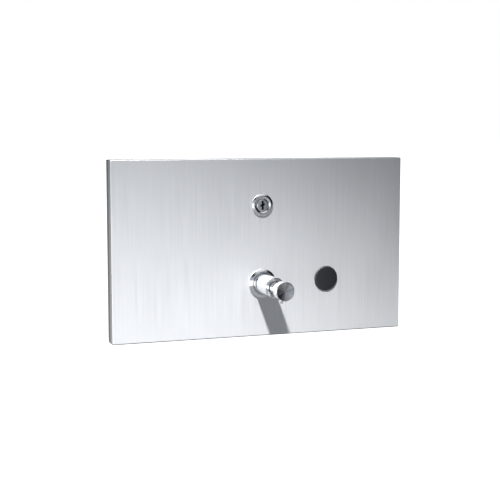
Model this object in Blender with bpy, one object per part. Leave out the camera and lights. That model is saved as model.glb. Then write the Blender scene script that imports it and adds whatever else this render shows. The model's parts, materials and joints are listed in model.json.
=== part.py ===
"""Recessed liquid soap dispenser: a wall box, and a hinged door that carries the tank, valve and lock.

+X runs to the right, +Y into the wall and +Z up. The origin is the middle of the wall's opening.
"""

import math

import bmesh
import bpy
from mathutils import Matrix, Vector

GAP = 0.0003  # between pieces that touch
CUT_PAST = 0.001  # how far a cutting shape goes on past what it cuts
ROUND = 36  # sides of a round piece that shows
SMALL_ROUND = 16  # sides of a small or inner round piece

# Door: a shallow pan with its edges returned to the wall
FACE_WIDTH = 0.302
FACE_HEIGHT = 0.175
DOOR_SHEET = 0.0012
RETURN_DEPTH = 0.0155
WALL_CLEARANCE = 0.0005
BEND_RADIUS = 0.001
STUD_RADIUS = 0.002
STUD_LENGTH = 0.0068

# Wall box
BOX_INSET_X = 0.021  # from the door's edge to the box's outer wall
BOX_INSET_Z = 0.0185
BOX_DEPTH = 0.085
BOX_SHEET = 0.001
FLANGE_WIDTH = 0.012
BOX_SCREW_RADIUS = 0.0025
BOX_SCREW_HEIGHT = 0.038
BOX_SCREW_DEPTH = 0.058

# Door hinge, along the lower edge
HINGE_WALL_SPACE = 0.001  # knuckles in front of the wall
HINGE_END_SPACE = 0.010  # hinge ends in from the box's outer walls
KNUCKLE_COUNT = 9
KNUCKLE_RADIUS = 0.0025
KNUCKLE_CLEARANCE = 0.0004
PIN_RADIUS = 0.0012
LEAF_SHEET = 0.0008
LEAF_EDGE_SPACE = 0.001  # below the box's mouth
LEAF_RIVET_SPACING = 0.087
OPEN_ANGLE = math.radians(40)

# Tank
TANK_SHEET = 0.0012
TANK_SIDE_SPACE = 0.011  # from the box's inner wall
TANK_BACK_SPACE = 0.008
TANK_FLOOR_SPACE = 0.004
EAR_HEIGHT = 0.020
LOWER_EAR_RISE = 0.024  # ear centre above the tank's floor
UPPER_EAR_DROP = 0.015  # ear centre below the tank's top
EAR_END = 0.0055  # past the stud's centre
NUT_FLATS = 0.007
NUT_HEIGHT = 0.0032
NUT_TO_ARM = 0.0015
COVER_RIM = 0.004
COVER_RIM_SHEET = 0.001

# Filler neck and its lid
NECK_WIDTH = 0.080
NECK_LENGTH = 0.023
NECK_HEIGHT = 0.004
NECK_SETBACK = 0.023  # neck's front wall behind the wall's surface
LID_SHEET = 0.0012
LID_OVERHANG = 0.003
LID_TAB = 0.005
LID_SEAL = 0.0007
LID_KNUCKLE_RADIUS = 0.0018
LID_PIN_RADIUS = 0.0009
LID_KNUCKLE_LENGTH = 0.012

# Stop arms, which hold the door at its open angle
ARM_SHEET = 0.0015
ARM_WIDTH = 0.006
ARM_HOOK = 0.006
ARM_HOOK_ANGLE = math.radians(3)
ARM_TIP_ANGLE = math.radians(1.3)  # from the hook's end to the arm's rearmost point
ARM_BACK_SPACE = 0.004
ARM_SIDE_SPACE = 0.002
ARM_FOOT_HEIGHT = 0.016
STOP_PIN_RADIUS = 0.002
STOP_PIN_ANGLE = math.radians(82)
STOP_PIN_HEAD = 0.0035
STOP_PIN_COLLAR = 0.0008
RIVET_HEAD_HEIGHT = 0.0008

# Lock
LOCK_DROP = 0.0455  # lock centre below the door's upper edge
LOCK_HEAD_RIM = 0.0021
LOCK_HEAD_HEIGHT = 0.002
LOCK_WALL = 0.0026
LOCK_BODY_LENGTH = 0.024  # behind the door's face
PLUG_RADIUS = 0.006
PLUG_RECESS = 0.0005
KEYWAY_HEIGHT = 0.009
KEYWAY_WIDTH = 0.0018
KEYWAY_DEPTH = 0.014
DRIVE_SQUARE = 0.006
CAM_SHEET = 0.002
CAM_WIDTH = 0.012
CAM_TIP_SPACE = 0.002  # tip below the box's upper wall when locked
CAM_HUB_RADIUS = 0.007
CAM_SCREW_RADIUS = 0.0019
CAM_SCREW_HEAD = 0.0042
CAM_SCREW_SLOT = 0.001  # width and depth
CAM_SCREW_LENGTH = 0.007
LOCK_NUT_WALL = 0.0031
LOCK_NUT_HEIGHT = 0.004
TANK_TO_LOCK_NUT = 0.0011

# Strike, which the cam turns behind
STRIKE_SHEET = 0.0012
STRIKE_WIDTH = 0.030
STRIKE_DROP = 0.0077
STRIKE_FOOT = 0.016
STRIKE_TO_CAM = 0.001
RIVET_RADIUS = 0.0015
RIVET_HEAD_RADIUS = 0.0028

# Door bumpers
BUMPER_RADIUS = 0.004

# Level window
WINDOW_X = 0.068
WINDOW_RISE = 0.0545  # window centre above the door's lower edge
WINDOW_RIM = 0.0025
WINDOW_HEIGHT = 0.0022
WINDOW_SHANK_RADIUS = 0.0100
WINDOW_SHANK_LENGTH = 0.011
WINDOW_GASKET = 0.0006
WINDOW_NUT_WALL = 0.004
WINDOW_NUT_HEIGHT = 0.004

# Push valve, on its own axis; the stations are distances out from the door's face
VALVE_RISE = 0.0525  # valve axis above the door's lower edge
ESCUTCHEON_RIM = 0.0042
ESCUTCHEON_HEIGHT = 0.0032
BARREL_SHOULDER = 0.001
BARREL_END_WALL = 0.003
SHANK_WALL = 0.0014
SHANK_PAST_NUT = 0.0041
STEM_BORE = 0.002
SPIGOT_WALL = 0.002
SPIGOT_LENGTH = 0.006
STEM_SHOULDER = 0.002
BUTTON_RADIUS = 0.00925
BUTTON_TOP = 0.0024  # beyond the stem's spigot
BUTTON_TRAVEL = 0.012
NOZZLE_BEHIND_BUTTON = 0.0024  # nozzle axis behind the button's back
NOZZLE_RADIUS = 0.0020
NOZZLE_TIP_RADIUS = 0.00165
NOZZLE_BORE = 0.0010
NOZZLE_DROP = 0.0125  # tip below the valve axis
NOZZLE_TAPER = 0.0035
NOZZLE_STOP_SPACE = 0.0022  # from the barrel with the button pressed
BUSHING_WALL = 0.001
BUSHING_LENGTH = 0.0067
PISTON_LENGTH = 0.0057
PISTON_CLEARANCE = 0.0005
SEAL_CLEARANCE = 0.00025
SEAL_DEPTH = 0.0013
SEAL_WIDTH = 0.0024
SPRING_WALL_SPACE = 0.0014  # spring wire in from the bore
SPRING_WIRE = 0.0006
SPRING_TURNS = 6.5
SPRING_RESERVE = 0.007  # left of the spring's room with the button pressed and the coils closed
SEAT_THICKNESS = 0.0025
SEAT_TO_SHANK_END = 0.0032
SEAT_PORT_RADIUS = 0.0008
SEAT_PORT_CIRCLE = 0.003
UMBRELLA_STEM = 0.001
OUTLET_FLANGE = 0.0008
OUTLET_LENGTH = 0.003
CAP_FLANGE = 0.0027
CAP_NIPPLE_RADIUS = 0.0027
CAP_NIPPLE_WALL = 0.001
CAP_NIPPLE_LENGTH = 0.008
PICKUP_WALL = 0.0012
PICKUP_BEND = 0.009
PICKUP_FLOOR_SPACE = 0.003
VALVE_NUT_WALL = 0.003
VALVE_NUT_HEIGHT = 0.005
VALVE_GASKET = 0.0015
VALVE_GASKET_WALL = 0.004

# Places that follow from the sizes above
HALF_WIDTH = FACE_WIDTH / 2
HALF_HEIGHT = FACE_HEIGHT / 2
FACE_Y = -(WALL_CLEARANCE + RETURN_DEPTH)
DOOR_BACK = FACE_Y + DOOR_SHEET
BOX_X = HALF_WIDTH - BOX_INSET_X
BOX_Z = HALF_HEIGHT - BOX_INSET_Z
BOX_INNER_X = BOX_X - BOX_SHEET
BOX_INNER_Z = BOX_Z - BOX_SHEET
BOX_INNER_BACK = BOX_DEPTH - BOX_SHEET
FLANGE_MIDDLE_Z = BOX_Z + FLANGE_WIDTH / 2
HINGE_HEIGHT = KNUCKLE_RADIUS + DOOR_SHEET + GAP  # axis above the door's lower edge
HINGE_SETBACK = KNUCKLE_RADIUS + HINGE_WALL_SPACE  # axis in front of the wall
HINGE_LENGTH = 2 * (BOX_X - HINGE_END_SPACE)
HINGE_AT = Vector((0, -HINGE_SETBACK, -HALF_HEIGHT + HINGE_HEIGHT))
LOCK_AT = Vector((0, FACE_Y, HALF_HEIGHT - LOCK_DROP))
VALVE_AT = Vector((0, FACE_Y, -HALF_HEIGHT + VALVE_RISE))
WINDOW_AT = Vector((WINDOW_X, FACE_Y, -HALF_HEIGHT + WINDOW_RISE))
LOCK_BODY_RADIUS = PLUG_RADIUS + GAP + LOCK_WALL
LOCK_HEAD_RADIUS = LOCK_BODY_RADIUS + LOCK_HEAD_RIM
LOCK_NUT_FLATS = 2 * (LOCK_BODY_RADIUS + LOCK_NUT_WALL)
TANK_X = BOX_INNER_X - TANK_SIDE_SPACE
TANK_FRONT = DOOR_BACK + GAP
TANK_BACK = BOX_INNER_BACK - TANK_BACK_SPACE
TANK_FLOOR = -BOX_INNER_Z + TANK_FLOOR_SPACE
TANK_TOP = LOCK_AT.z - LOCK_NUT_FLATS / math.sqrt(3) - TANK_TO_LOCK_NUT
COVER_UNDER = TANK_TOP - TANK_SHEET
ARM_EDGE = BOX_INNER_X - ARM_SIDE_SPACE
STUD_X = ARM_EDGE + NUT_TO_ARM + NUT_FLATS / math.sqrt(3)
EAR_X = STUD_X + EAR_END
EAR_BACK = TANK_FRONT + TANK_SHEET
EAR_HEIGHTS = {"lower": TANK_FLOOR + LOWER_EAR_RISE, "upper": TANK_TOP - UPPER_EAR_DROP}
NECK_BACK = NECK_SETBACK + NECK_LENGTH
NECK_TOP = TANK_TOP + NECK_HEIGHT
LID_UNDER = NECK_TOP + LID_SEAL + 2 * GAP
LID_BACK = NECK_BACK + LID_OVERHANG
LID_AT = Vector((0, LID_BACK + LID_KNUCKLE_RADIUS, LID_UNDER - LID_KNUCKLE_RADIUS + GAP / 2))
PLUG_BACK = LOCK_BODY_LENGTH + GAP
CAM_FRONT_Y = FACE_Y + PLUG_BACK + GAP
CAM_REACH = BOX_INNER_Z - CAM_TIP_SPACE - LOCK_AT.z
STRIKE_Y = CAM_FRONT_Y - STRIKE_TO_CAM - STRIKE_SHEET
STRIKE_RIVET_Y = STRIKE_Y + STRIKE_FOOT * 0.6
LOCK_HOLE = LOCK_BODY_RADIUS + GAP
WINDOW_RADIUS = WINDOW_SHANK_RADIUS + WINDOW_RIM
WINDOW_HOLE = WINDOW_SHANK_RADIUS + GAP
STEM_SPIGOT = STEM_BORE + SPIGOT_WALL
STEM_RADIUS = STEM_SPIGOT + STEM_SHOULDER
STEM_GUIDE = STEM_RADIUS + GAP
BARREL_BORE = STEM_GUIDE + BUSHING_WALL + GAP
SHANK_RADIUS = BARREL_BORE + SHANK_WALL
SHANK_HOLE = SHANK_RADIUS + GAP
BARREL_RADIUS = SHANK_RADIUS + BARREL_SHOULDER
ESCUTCHEON_RADIUS = BARREL_RADIUS + ESCUTCHEON_RIM
VALVE_GASKET_AT = EAR_BACK + GAP - FACE_Y
VALVE_NUT_AT = VALVE_GASKET_AT + VALVE_GASKET + GAP
SHANK_LENGTH = VALVE_NUT_AT + VALVE_NUT_HEIGHT + SHANK_PAST_NUT
SEAT_BACK = SEAT_TO_SHANK_END - SHANK_LENGTH
SEAT_FRONT = SEAT_BACK + SEAT_THICKNESS
SPRING_RADIUS = BARREL_BORE - SPRING_WALL_SPACE - SPRING_WIRE
SPRING_ROOM = BUTTON_TRAVEL + 2 * SPRING_WIRE * (SPRING_TURNS + 1) + SPRING_RESERVE
PISTON_BACK = SEAT_FRONT + SPRING_ROOM
PISTON_FRONT = PISTON_BACK + PISTON_LENGTH
PISTON_RADIUS = BARREL_BORE - PISTON_CLEARANCE
BUSHING_BACK = PISTON_FRONT + 2 * GAP
BUSHING_FRONT = BUSHING_BACK + BUSHING_LENGTH
BARREL_FRONT = BUSHING_FRONT + GAP + BARREL_END_WALL
NOZZLE_AT = BARREL_FRONT + BUTTON_TRAVEL + NOZZLE_RADIUS + NOZZLE_STOP_SPACE
BUTTON_BACK = NOZZLE_AT + NOZZLE_BEHIND_BUTTON
BUTTON_FACE = BUTTON_BACK + SPIGOT_LENGTH + BUTTON_TOP

FINISHES = {
    "satin_steel": ((0.60, 0.61, 0.62), 0.32, 1.0),
    "mill_steel": ((0.52, 0.53, 0.54), 0.42, 1.0),
    "chrome": ((0.82, 0.83, 0.84), 0.06, 1.0),
    "brass": ((0.66, 0.50, 0.24), 0.30, 1.0),
    "spring_steel": ((0.46, 0.46, 0.47), 0.28, 1.0),
    "rubber": ((0.02, 0.02, 0.02), 0.70, 0.0),
    "nylon": ((0.80, 0.79, 0.75), 0.45, 0.0),
    "clear_tube": ((0.78, 0.82, 0.84), 0.15, 0.0),
    "smoked_acrylic": ((0.02, 0.02, 0.022), 0.08, 0.0),
}
AXES = {"X": Vector((1, 0, 0)), "Y": Vector((0, 1, 0)), "Z": Vector((0, 0, 1))}


def clear_scene():
    for obj in list(bpy.data.objects):
        bpy.data.objects.remove(obj, do_unlink=True)


def finish_of(name, finish):
    """The piece's own material."""
    color, roughness, metallic = FINISHES[finish]
    material = bpy.data.materials.new(name)
    material.use_nodes = True
    shader = material.node_tree.nodes["Principled BSDF"]
    shader.inputs["Base Color"].default_value = (*color, 1.0)
    shader.inputs["Roughness"].default_value = roughness
    shader.inputs["Metallic"].default_value = metallic
    return material


def link(name, shape):
    """Makes a mesh object from a bmesh, which it frees."""
    bmesh.ops.recalc_face_normals(shape, faces=shape.faces)
    mesh = bpy.data.meshes.new(name)
    shape.to_mesh(mesh)
    shape.free()
    obj = bpy.data.objects.new(name, mesh)
    bpy.context.scene.collection.objects.link(obj)
    return obj


def piece(name, shape, finish, at=(0, 0, 0), pivot=None):
    """A named piece whose shape is drawn around the point at; a moving piece hangs on its pivot."""
    obj = link(name, shape)
    obj.data.shade_smooth()
    obj.data.set_sharp_from_angle(angle=math.radians(32))
    obj.data.materials.append(finish_of(name, finish))
    obj.parent = pivot
    obj.location = Vector(at) - (pivot.location if pivot else Vector())
    return obj


def shaped(obj, operation, *shapes):
    """Joins shapes to a piece or cuts them from it. They are drawn around the same point as the piece."""
    label = {"UNION": "add", "DIFFERENCE": "cut"}[operation]
    tool = link(f"{obj.name}_{label}_{len(obj.modifiers)}", together(shapes))
    tool.hide_render = True
    tool.display_type = "WIRE"
    tool.parent = obj
    modifier = obj.modifiers.new(label, "BOOLEAN")
    modifier.operation = operation
    modifier.solver = "EXACT"
    modifier.object = tool


def together(shapes):
    """Several shapes that don't meet, in one bmesh."""
    joined = bmesh.new()
    for shape in shapes:
        mesh = bpy.data.meshes.new("part_of_tool")
        shape.to_mesh(mesh)
        shape.free()
        joined.from_mesh(mesh)
        bpy.data.meshes.remove(mesh)
    return joined


def pivot(name, at):
    empty = bpy.data.objects.new(name, None)
    empty.location = at
    bpy.context.scene.collection.objects.link(empty)
    return empty


def block(x, y, z):
    """A block from its lowest and highest x, y and z."""
    low, high = Vector((x[0], y[0], z[0])), Vector((x[1], y[1], z[1]))
    shape = bmesh.new()
    place = Matrix.Translation((low + high) / 2) @ Matrix.Diagonal((*(high - low), 1.0))
    bmesh.ops.create_cube(shape, size=1.0, matrix=place)
    return shape


def rod(axis, start, end, radius, centre=(0, 0, 0), sides=SMALL_ROUND):
    """A round rod along an axis through centre."""
    shape = bmesh.new()
    turn = Vector((0, 0, 1)).rotation_difference(AXES[axis]).to_matrix().to_4x4()
    middle = Vector(centre) + AXES[axis] * (start + end) / 2
    bmesh.ops.create_cone(
        shape,
        cap_ends=True,
        segments=sides,
        radius1=radius,
        radius2=radius,
        depth=end - start,
        matrix=Matrix.Translation(middle) @ turn,
    )
    return shape


def turned(axis, outline, sides=SMALL_ROUND, centre=(0, 0, 0)):
    """A turned piece from its outline of (distance along the axis, radius)."""
    along = AXES[axis]
    across = AXES["X"] if axis != "X" else AXES["Z"]
    shape = bmesh.new()
    points = [shape.verts.new(along * station + across * radius) for station, radius in outline]
    pairs = list(zip(points, points[1:]))
    if outline[0][1] > 0:
        pairs.append((points[-1], points[0]))
    edges = [shape.edges.new(pair) for pair in pairs]
    bmesh.ops.spin(
        shape,
        geom=points + edges,
        cent=(0, 0, 0),
        axis=along,
        angle=math.tau,
        steps=sides,
        use_merge=True,
    )
    bmesh.ops.remove_doubles(shape, verts=shape.verts, dist=1e-7)
    bmesh.ops.translate(shape, verts=shape.verts, vec=centre)
    return shape


def prism(axis, outline, start, end):
    """A flat outline of the two other coordinates, extruded along an axis."""
    others = [AXES[name] for name in "XYZ" if name != axis]
    shape = bmesh.new()
    corners = [shape.verts.new(others[0] * a + others[1] * b + AXES[axis] * start) for a, b in outline]
    face = shape.faces.new(corners)
    made = bmesh.ops.extrude_face_region(shape, geom=[face])["geom"]
    moved = [vert for vert in made if isinstance(vert, bmesh.types.BMVert)]
    bmesh.ops.translate(shape, verts=moved, vec=AXES[axis] * (end - start))
    return shape


def arc(centre, radius, start, end, steps):
    """Points on an arc, both ends included."""
    angles = [start + (end - start) * step / steps for step in range(steps + 1)]
    return [(centre[0] + radius * math.cos(a), centre[1] + radius * math.sin(a)) for a in angles]


def swept(path, radius, bore=0.0, sides=10):
    """A round wire along a path, or a tube if it has a bore."""
    shape = bmesh.new()
    radii = [radius, bore] if bore else [radius]
    normal = (path[1] - path[0]).orthogonal()
    walls = [[] for _ in radii]
    for index, point in enumerate(path):
        tangent = (path[min(index + 1, len(path) - 1)] - path[max(index - 1, 0)]).normalized()
        normal = (normal - tangent * normal.dot(tangent)).normalized()
        side = tangent.cross(normal)
        for wall, size in zip(walls, radii):
            angles = [math.tau * step / sides for step in range(sides)]
            spokes = [normal * math.cos(angle) + side * math.sin(angle) for angle in angles]
            wall.append([shape.verts.new(point + spoke * size) for spoke in spokes])
    for wall in walls:
        for near, far in zip(wall, wall[1:]):
            bridge(shape, near, far)
    for end in (0, -1):
        if bore:
            bridge(shape, walls[0][end], walls[1][end])
        else:
            shape.faces.new(walls[0][end])
    return shape


def bridge(shape, ring, other):
    for i in range(len(ring)):
        j = (i + 1) % len(ring)
        shape.faces.new((ring[i], ring[j], other[j], other[i]))


def hex_nut(name, flats, height, bore, front, centre, finish, sides=SMALL_ROUND, hang=None):
    """A hexagon nut on a stud or shank that points into the wall; front is its face towards the room."""
    at = Vector((centre[0], 0, centre[2]))
    nut = piece(name, rod("Y", front, front + height, flats / math.sqrt(3), sides=6), finish, at, hang)
    shaped(nut, "DIFFERENCE", rod("Y", front - height, front + 2 * height, bore, sides=sides))


def out(station):
    """A distance out from the door's face, as a place along Y from that face."""
    return -station


# --- wall box ---


def wall_box():
    """The sheet-metal box in the wall, with a flange that lies on the wall's surface."""
    half_x, half_z = BOX_X + FLANGE_WIDTH, BOX_Z + FLANGE_WIDTH
    box = piece("wall_box", block((-half_x, half_x), (-BOX_SHEET, 0), (-half_z, half_z)), "mill_steel")
    shaped(box, "UNION", block((-BOX_X, BOX_X), (-BOX_SHEET / 2, BOX_DEPTH), (-BOX_Z, BOX_Z)))
    inside_x, inside_z = (-BOX_INNER_X, BOX_INNER_X), (-BOX_INNER_Z, BOX_INNER_Z)
    shaped(box, "DIFFERENCE", block(inside_x, (-2 * BOX_SHEET, BOX_INNER_BACK), inside_z))
    through = BOX_X + BOX_SHEET
    pin = stop_pin_centre()
    holes = [rod("X", -through, through, STOP_PIN_RADIUS + GAP, pin)]
    for height in (-BOX_SCREW_HEIGHT, BOX_SCREW_HEIGHT):
        holes.append(rod("X", -through, through, BOX_SCREW_RADIUS, (0, BOX_SCREW_DEPTH, height)))
    for x in leaf_rivet_places():
        holes.append(rod("Y", -2 * BOX_SHEET, BOX_SHEET, RIVET_RADIUS + GAP, (x, 0, -FLANGE_MIDDLE_Z)))
    top = (BOX_Z - 2 * BOX_SHEET, BOX_Z + BOX_SHEET)
    for x in strike_rivet_places():
        holes.append(rod("Z", *top, RIVET_RADIUS + GAP, (x, STRIKE_RIVET_Y, 0)))
    shaped(box, "DIFFERENCE", *holes)


def knuckles(own):
    """The stretches along X of one leaf's knuckles: every second one, from the first or the second."""
    pitch = HINGE_LENGTH / KNUCKLE_COUNT
    gap = KNUCKLE_CLEARANCE / 2
    starts = [-HINGE_LENGTH / 2 + pitch * i for i in range(own, KNUCKLE_COUNT, 2)]
    return [(start + gap, start + pitch - gap) for start in starts]


def leaf_rivet_places():
    return [-LEAF_RIVET_SPACING, 0.0, LEAF_RIVET_SPACING]


def hinge_leaf(name, own, leaf, tongue, hang):
    """A hinge leaf: a strip, and knuckles on tongues. leaf and tongue give their y and z from the axis."""
    half = HINGE_LENGTH / 2
    obj = piece(name, block((-half, half), *leaf), "mill_steel", HINGE_AT, hang)
    stretches = knuckles(own)
    shaped(obj, "UNION", *[block(stretch, *tongue) for stretch in stretches])
    shaped(obj, "UNION", *[rod("X", *stretch, KNUCKLE_RADIUS) for stretch in stretches])
    shaped(obj, "DIFFERENCE", rod("X", -FACE_WIDTH, FACE_WIDTH, PIN_RADIUS + GAP, sides=12))
    return obj


def door_hinge(door_pivot):
    """The two leaves, the pin, and the flush rivets that hold the lower leaf on the box's flange."""
    clear = KNUCKLE_RADIUS + KNUCKLE_CLEARANCE
    back = HINGE_SETBACK - BOX_SHEET - GAP
    front = back - LEAF_SHEET
    low = math.sqrt(clear**2 - front**2)
    leaf = ((front, back), (low, -BOX_Z - LEAF_EDGE_SPACE - HINGE_AT.z))
    tongue = ((front, back - LEAF_SHEET / 8), (KNUCKLE_RADIUS * 0.4, low + LEAF_SHEET))
    box_leaf = hinge_leaf("hinge_box_leaf", 0, leaf, tongue, None)
    rivet_z = -FLANGE_MIDDLE_Z - HINGE_AT.z
    ends = (front - LEAF_SHEET, back + LEAF_SHEET)
    holes = [rod("Y", *ends, RIVET_RADIUS + GAP, (x, 0, rivet_z)) for x in leaf_rivet_places()]
    shaped(box_leaf, "DIFFERENCE", *holes)
    under = -HINGE_HEIGHT + DOOR_SHEET + GAP
    over = under + LEAF_SHEET
    near = -math.sqrt(clear**2 - over**2)
    far = DOOR_BACK + 2 * GAP + HINGE_SETBACK
    leaf = ((far, near), (under, over))
    tongue = ((near - LEAF_SHEET, -KNUCKLE_RADIUS * 0.3), (under + LEAF_SHEET / 8, over))
    hinge_leaf("hinge_door_leaf", 1, leaf, tongue, door_pivot)
    half = HINGE_LENGTH / 2
    piece("hinge_pin", rod("X", -half, half, PIN_RADIUS, sides=12), "spring_steel", HINGE_AT)
    head = front - HINGE_SETBACK - GAP
    for number, x in enumerate(leaf_rivet_places(), 1):
        outline = [
            (head - RIVET_HEAD_HEIGHT, 0),
            (head - RIVET_HEAD_HEIGHT, RIVET_HEAD_RADIUS * 0.7),
            (head, RIVET_HEAD_RADIUS),
            (head, RIVET_RADIUS),
            (-GAP / 3, RIVET_RADIUS),
            (-GAP / 3, 0),
        ]
        rivet = turned("Y", outline)
        piece(f"leaf_rivet_{number}", rivet, "spring_steel", (x, 0, -FLANGE_MIDDLE_Z))


def strike_rivet_places():
    return [-STRIKE_WIDTH * 0.32, STRIKE_WIDTH * 0.32]


def strike():
    """The bracket under the box's upper wall, which the cam turns behind, and its two rivets."""
    top = BOX_INNER_Z - GAP
    half = STRIKE_WIDTH / 2
    foot = block((-half, half), (STRIKE_Y, STRIKE_Y + STRIKE_FOOT), (top - STRIKE_SHEET, top))
    bracket = piece("lock_strike", foot, "mill_steel")
    height = (top - STRIKE_DROP, top - STRIKE_SHEET / 2)
    shaped(bracket, "UNION", block((-half, half), (STRIKE_Y, STRIKE_Y + STRIKE_SHEET), height))
    clear = RIVET_RADIUS + GAP
    low = top - 2 * STRIKE_SHEET
    shaped(
        bracket,
        "DIFFERENCE",
        *[rod("Z", low, top + GAP, clear, (x, STRIKE_RIVET_Y, 0)) for x in strike_rivet_places()],
    )
    under = top - STRIKE_SHEET - GAP
    over = BOX_Z + GAP
    outline = [
        (under - RIVET_HEAD_HEIGHT, 0),
        (under - RIVET_HEAD_HEIGHT, RIVET_HEAD_RADIUS),
        (under, RIVET_HEAD_RADIUS),
        (under, RIVET_RADIUS),
        (over, RIVET_RADIUS),
        (over, RIVET_HEAD_RADIUS),
        (over + RIVET_HEAD_HEIGHT, RIVET_HEAD_RADIUS),
        (over + RIVET_HEAD_HEIGHT, 0),
    ]
    for number, x in enumerate(strike_rivet_places(), 1):
        rivet = turned("Z", outline)
        piece(f"strike_rivet_{number}", rivet, "spring_steel", (x, STRIKE_RIVET_Y, 0))


def arm_angles():
    """Angles round the door hinge, up from +Y: the hook's end, its stop face and the arm's front end."""
    pin_half = math.asin((STOP_PIN_RADIUS + GAP) / stop_pin_circle())
    stop_face = STOP_PIN_ANGLE - pin_half - OPEN_ANGLE
    front = math.pi - math.acos((EAR_BACK + GAP + ARM_SHEET / 2 - HINGE_AT.y) / -arm_middle())
    return stop_face - ARM_HOOK_ANGLE, stop_face, front


def arm_tip():
    """Outer radius of the hook: it just clears the box's back wall with the door shut."""
    reach = BOX_INNER_BACK - ARM_BACK_SPACE - HINGE_AT.y
    return reach / math.cos(STOP_PIN_ANGLE - OPEN_ANGLE - ARM_HOOK_ANGLE - ARM_TIP_ANGLE)


def arm_middle():
    return arm_tip() - ARM_HOOK - ARM_WIDTH / 2


def stop_pin_circle():
    return arm_tip() - ARM_HOOK / 2


def stop_pin_centre():
    angle = STOP_PIN_ANGLE
    return HINGE_AT + Vector((0, math.cos(angle), math.sin(angle))) * stop_pin_circle()


def stop_pins():
    """Two clinched pins in the box's side walls, flush outside, which the arms' hooks meet."""
    inner = ARM_EDGE - ARM_SHEET - GAP
    collar = BOX_INNER_X - GAP
    flush = BOX_X - GAP
    outline = [
        (inner, 0),
        (inner, STOP_PIN_RADIUS),
        (collar - STOP_PIN_COLLAR, STOP_PIN_RADIUS),
        (collar - STOP_PIN_COLLAR, STOP_PIN_HEAD),
        (collar, STOP_PIN_HEAD),
        (collar, STOP_PIN_RADIUS),
        (flush, STOP_PIN_RADIUS),
        (flush, 0),
    ]
    for side, sign in (("left", -1), ("right", 1)):
        pin = turned("X", [(sign * x, r) for x, r in outline])
        piece(f"stop_pin_{side}", pin, "spring_steel", stop_pin_centre())


def bumpers():
    """Rubber bumpers on the flange's upper corners, which the shut door rests on."""
    front = DOOR_BACK + GAP
    back = -BOX_SHEET - GAP
    for side, sign in (("left", -1), ("right", 1)):
        outline = [
            (front, 0),
            (front, BUMPER_RADIUS * 0.7),
            (front + BUMPER_RADIUS * 0.3, BUMPER_RADIUS),
            (back, BUMPER_RADIUS),
            (back, 0),
        ]
        piece(f"bumper_{side}", turned("Y", outline), "rubber", (sign * BOX_X, 0, FLANGE_MIDDLE_Z))


# --- door and tank ---


def stud_places():
    """The four weld studs on the door's back, as (x, z), lower pair first."""
    return [(sign * STUD_X, EAR_HEIGHTS[row]) for row in ("lower", "upper") for sign in (-1, 1)]


def door_plate(door_pivot):
    """The door: a pan with bent edges, holes for the lock, valve and window, and the tank's weld studs."""
    edge = -WALL_CLEARANCE
    pan = block((-HALF_WIDTH, HALF_WIDTH), (FACE_Y, edge), (-HALF_HEIGHT, HALF_HEIGHT))
    bends = [e for e in pan.edges if all(v.co.y < FACE_Y / 2 for v in e.verts)]
    bmesh.ops.bevel(
        pan,
        geom=bends,
        offset=BEND_RADIUS,
        offset_type="OFFSET",
        segments=3,
        profile=0.5,
        affect="EDGES",
        clamp_overlap=True,
        material=-1,
    )
    bmesh.ops.translate(pan, verts=pan.verts, vec=-HINGE_AT)
    door = piece("door_plate", pan, "satin_steel", HINGE_AT, door_pivot)
    inner_x, inner_z = HALF_WIDTH - DOOR_SHEET, HALF_HEIGHT - DOOR_SHEET
    hollow = block((-inner_x, inner_x), (DOOR_BACK, -edge), (-inner_z, inner_z))
    bmesh.ops.translate(hollow, verts=hollow.verts, vec=-HINGE_AT)
    shaped(door, "DIFFERENCE", hollow)
    shaped(door, "DIFFERENCE", swing_relief())
    holes = [(LOCK_AT, LOCK_HOLE), (VALVE_AT, SHANK_HOLE), (WINDOW_AT, WINDOW_HOLE)]
    cut = [rod("Y", -DOOR_SHEET, 3 * DOOR_SHEET, size, at - HINGE_AT, ROUND) for at, size in holes]
    shaped(door, "DIFFERENCE", *cut)
    start = (FACE_Y + DOOR_BACK) / 2 - HINGE_AT.y
    end = DOOR_BACK + STUD_LENGTH - HINGE_AT.y
    studs = [rod("Y", start, end, STUD_RADIUS, (x, 0, z - HINGE_AT.z), 16) for x, z in stud_places()]
    shaped(door, "UNION", *studs)


def swing_relief():
    """What is taken off the lower returned edge, so that it clears the wall as the door opens."""
    gap = HINGE_SETBACK - GAP
    sink = (gap - HINGE_HEIGHT * math.sin(OPEN_ANGLE)) / math.cos(OPEN_ANGLE)
    top = HINGE_SETBACK - WALL_CLEARANCE
    slope = (top - sink) / HINGE_HEIGHT
    outline = [
        (top + slope * CUT_PAST, CUT_PAST),
        (sink - slope * CUT_PAST, -HINGE_HEIGHT - CUT_PAST),
        (2 * HINGE_SETBACK, -HINGE_HEIGHT - CUT_PAST),
        (2 * HINGE_SETBACK, CUT_PAST),
    ]
    return prism("X", outline, -FACE_WIDTH, FACE_WIDTH)


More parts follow.
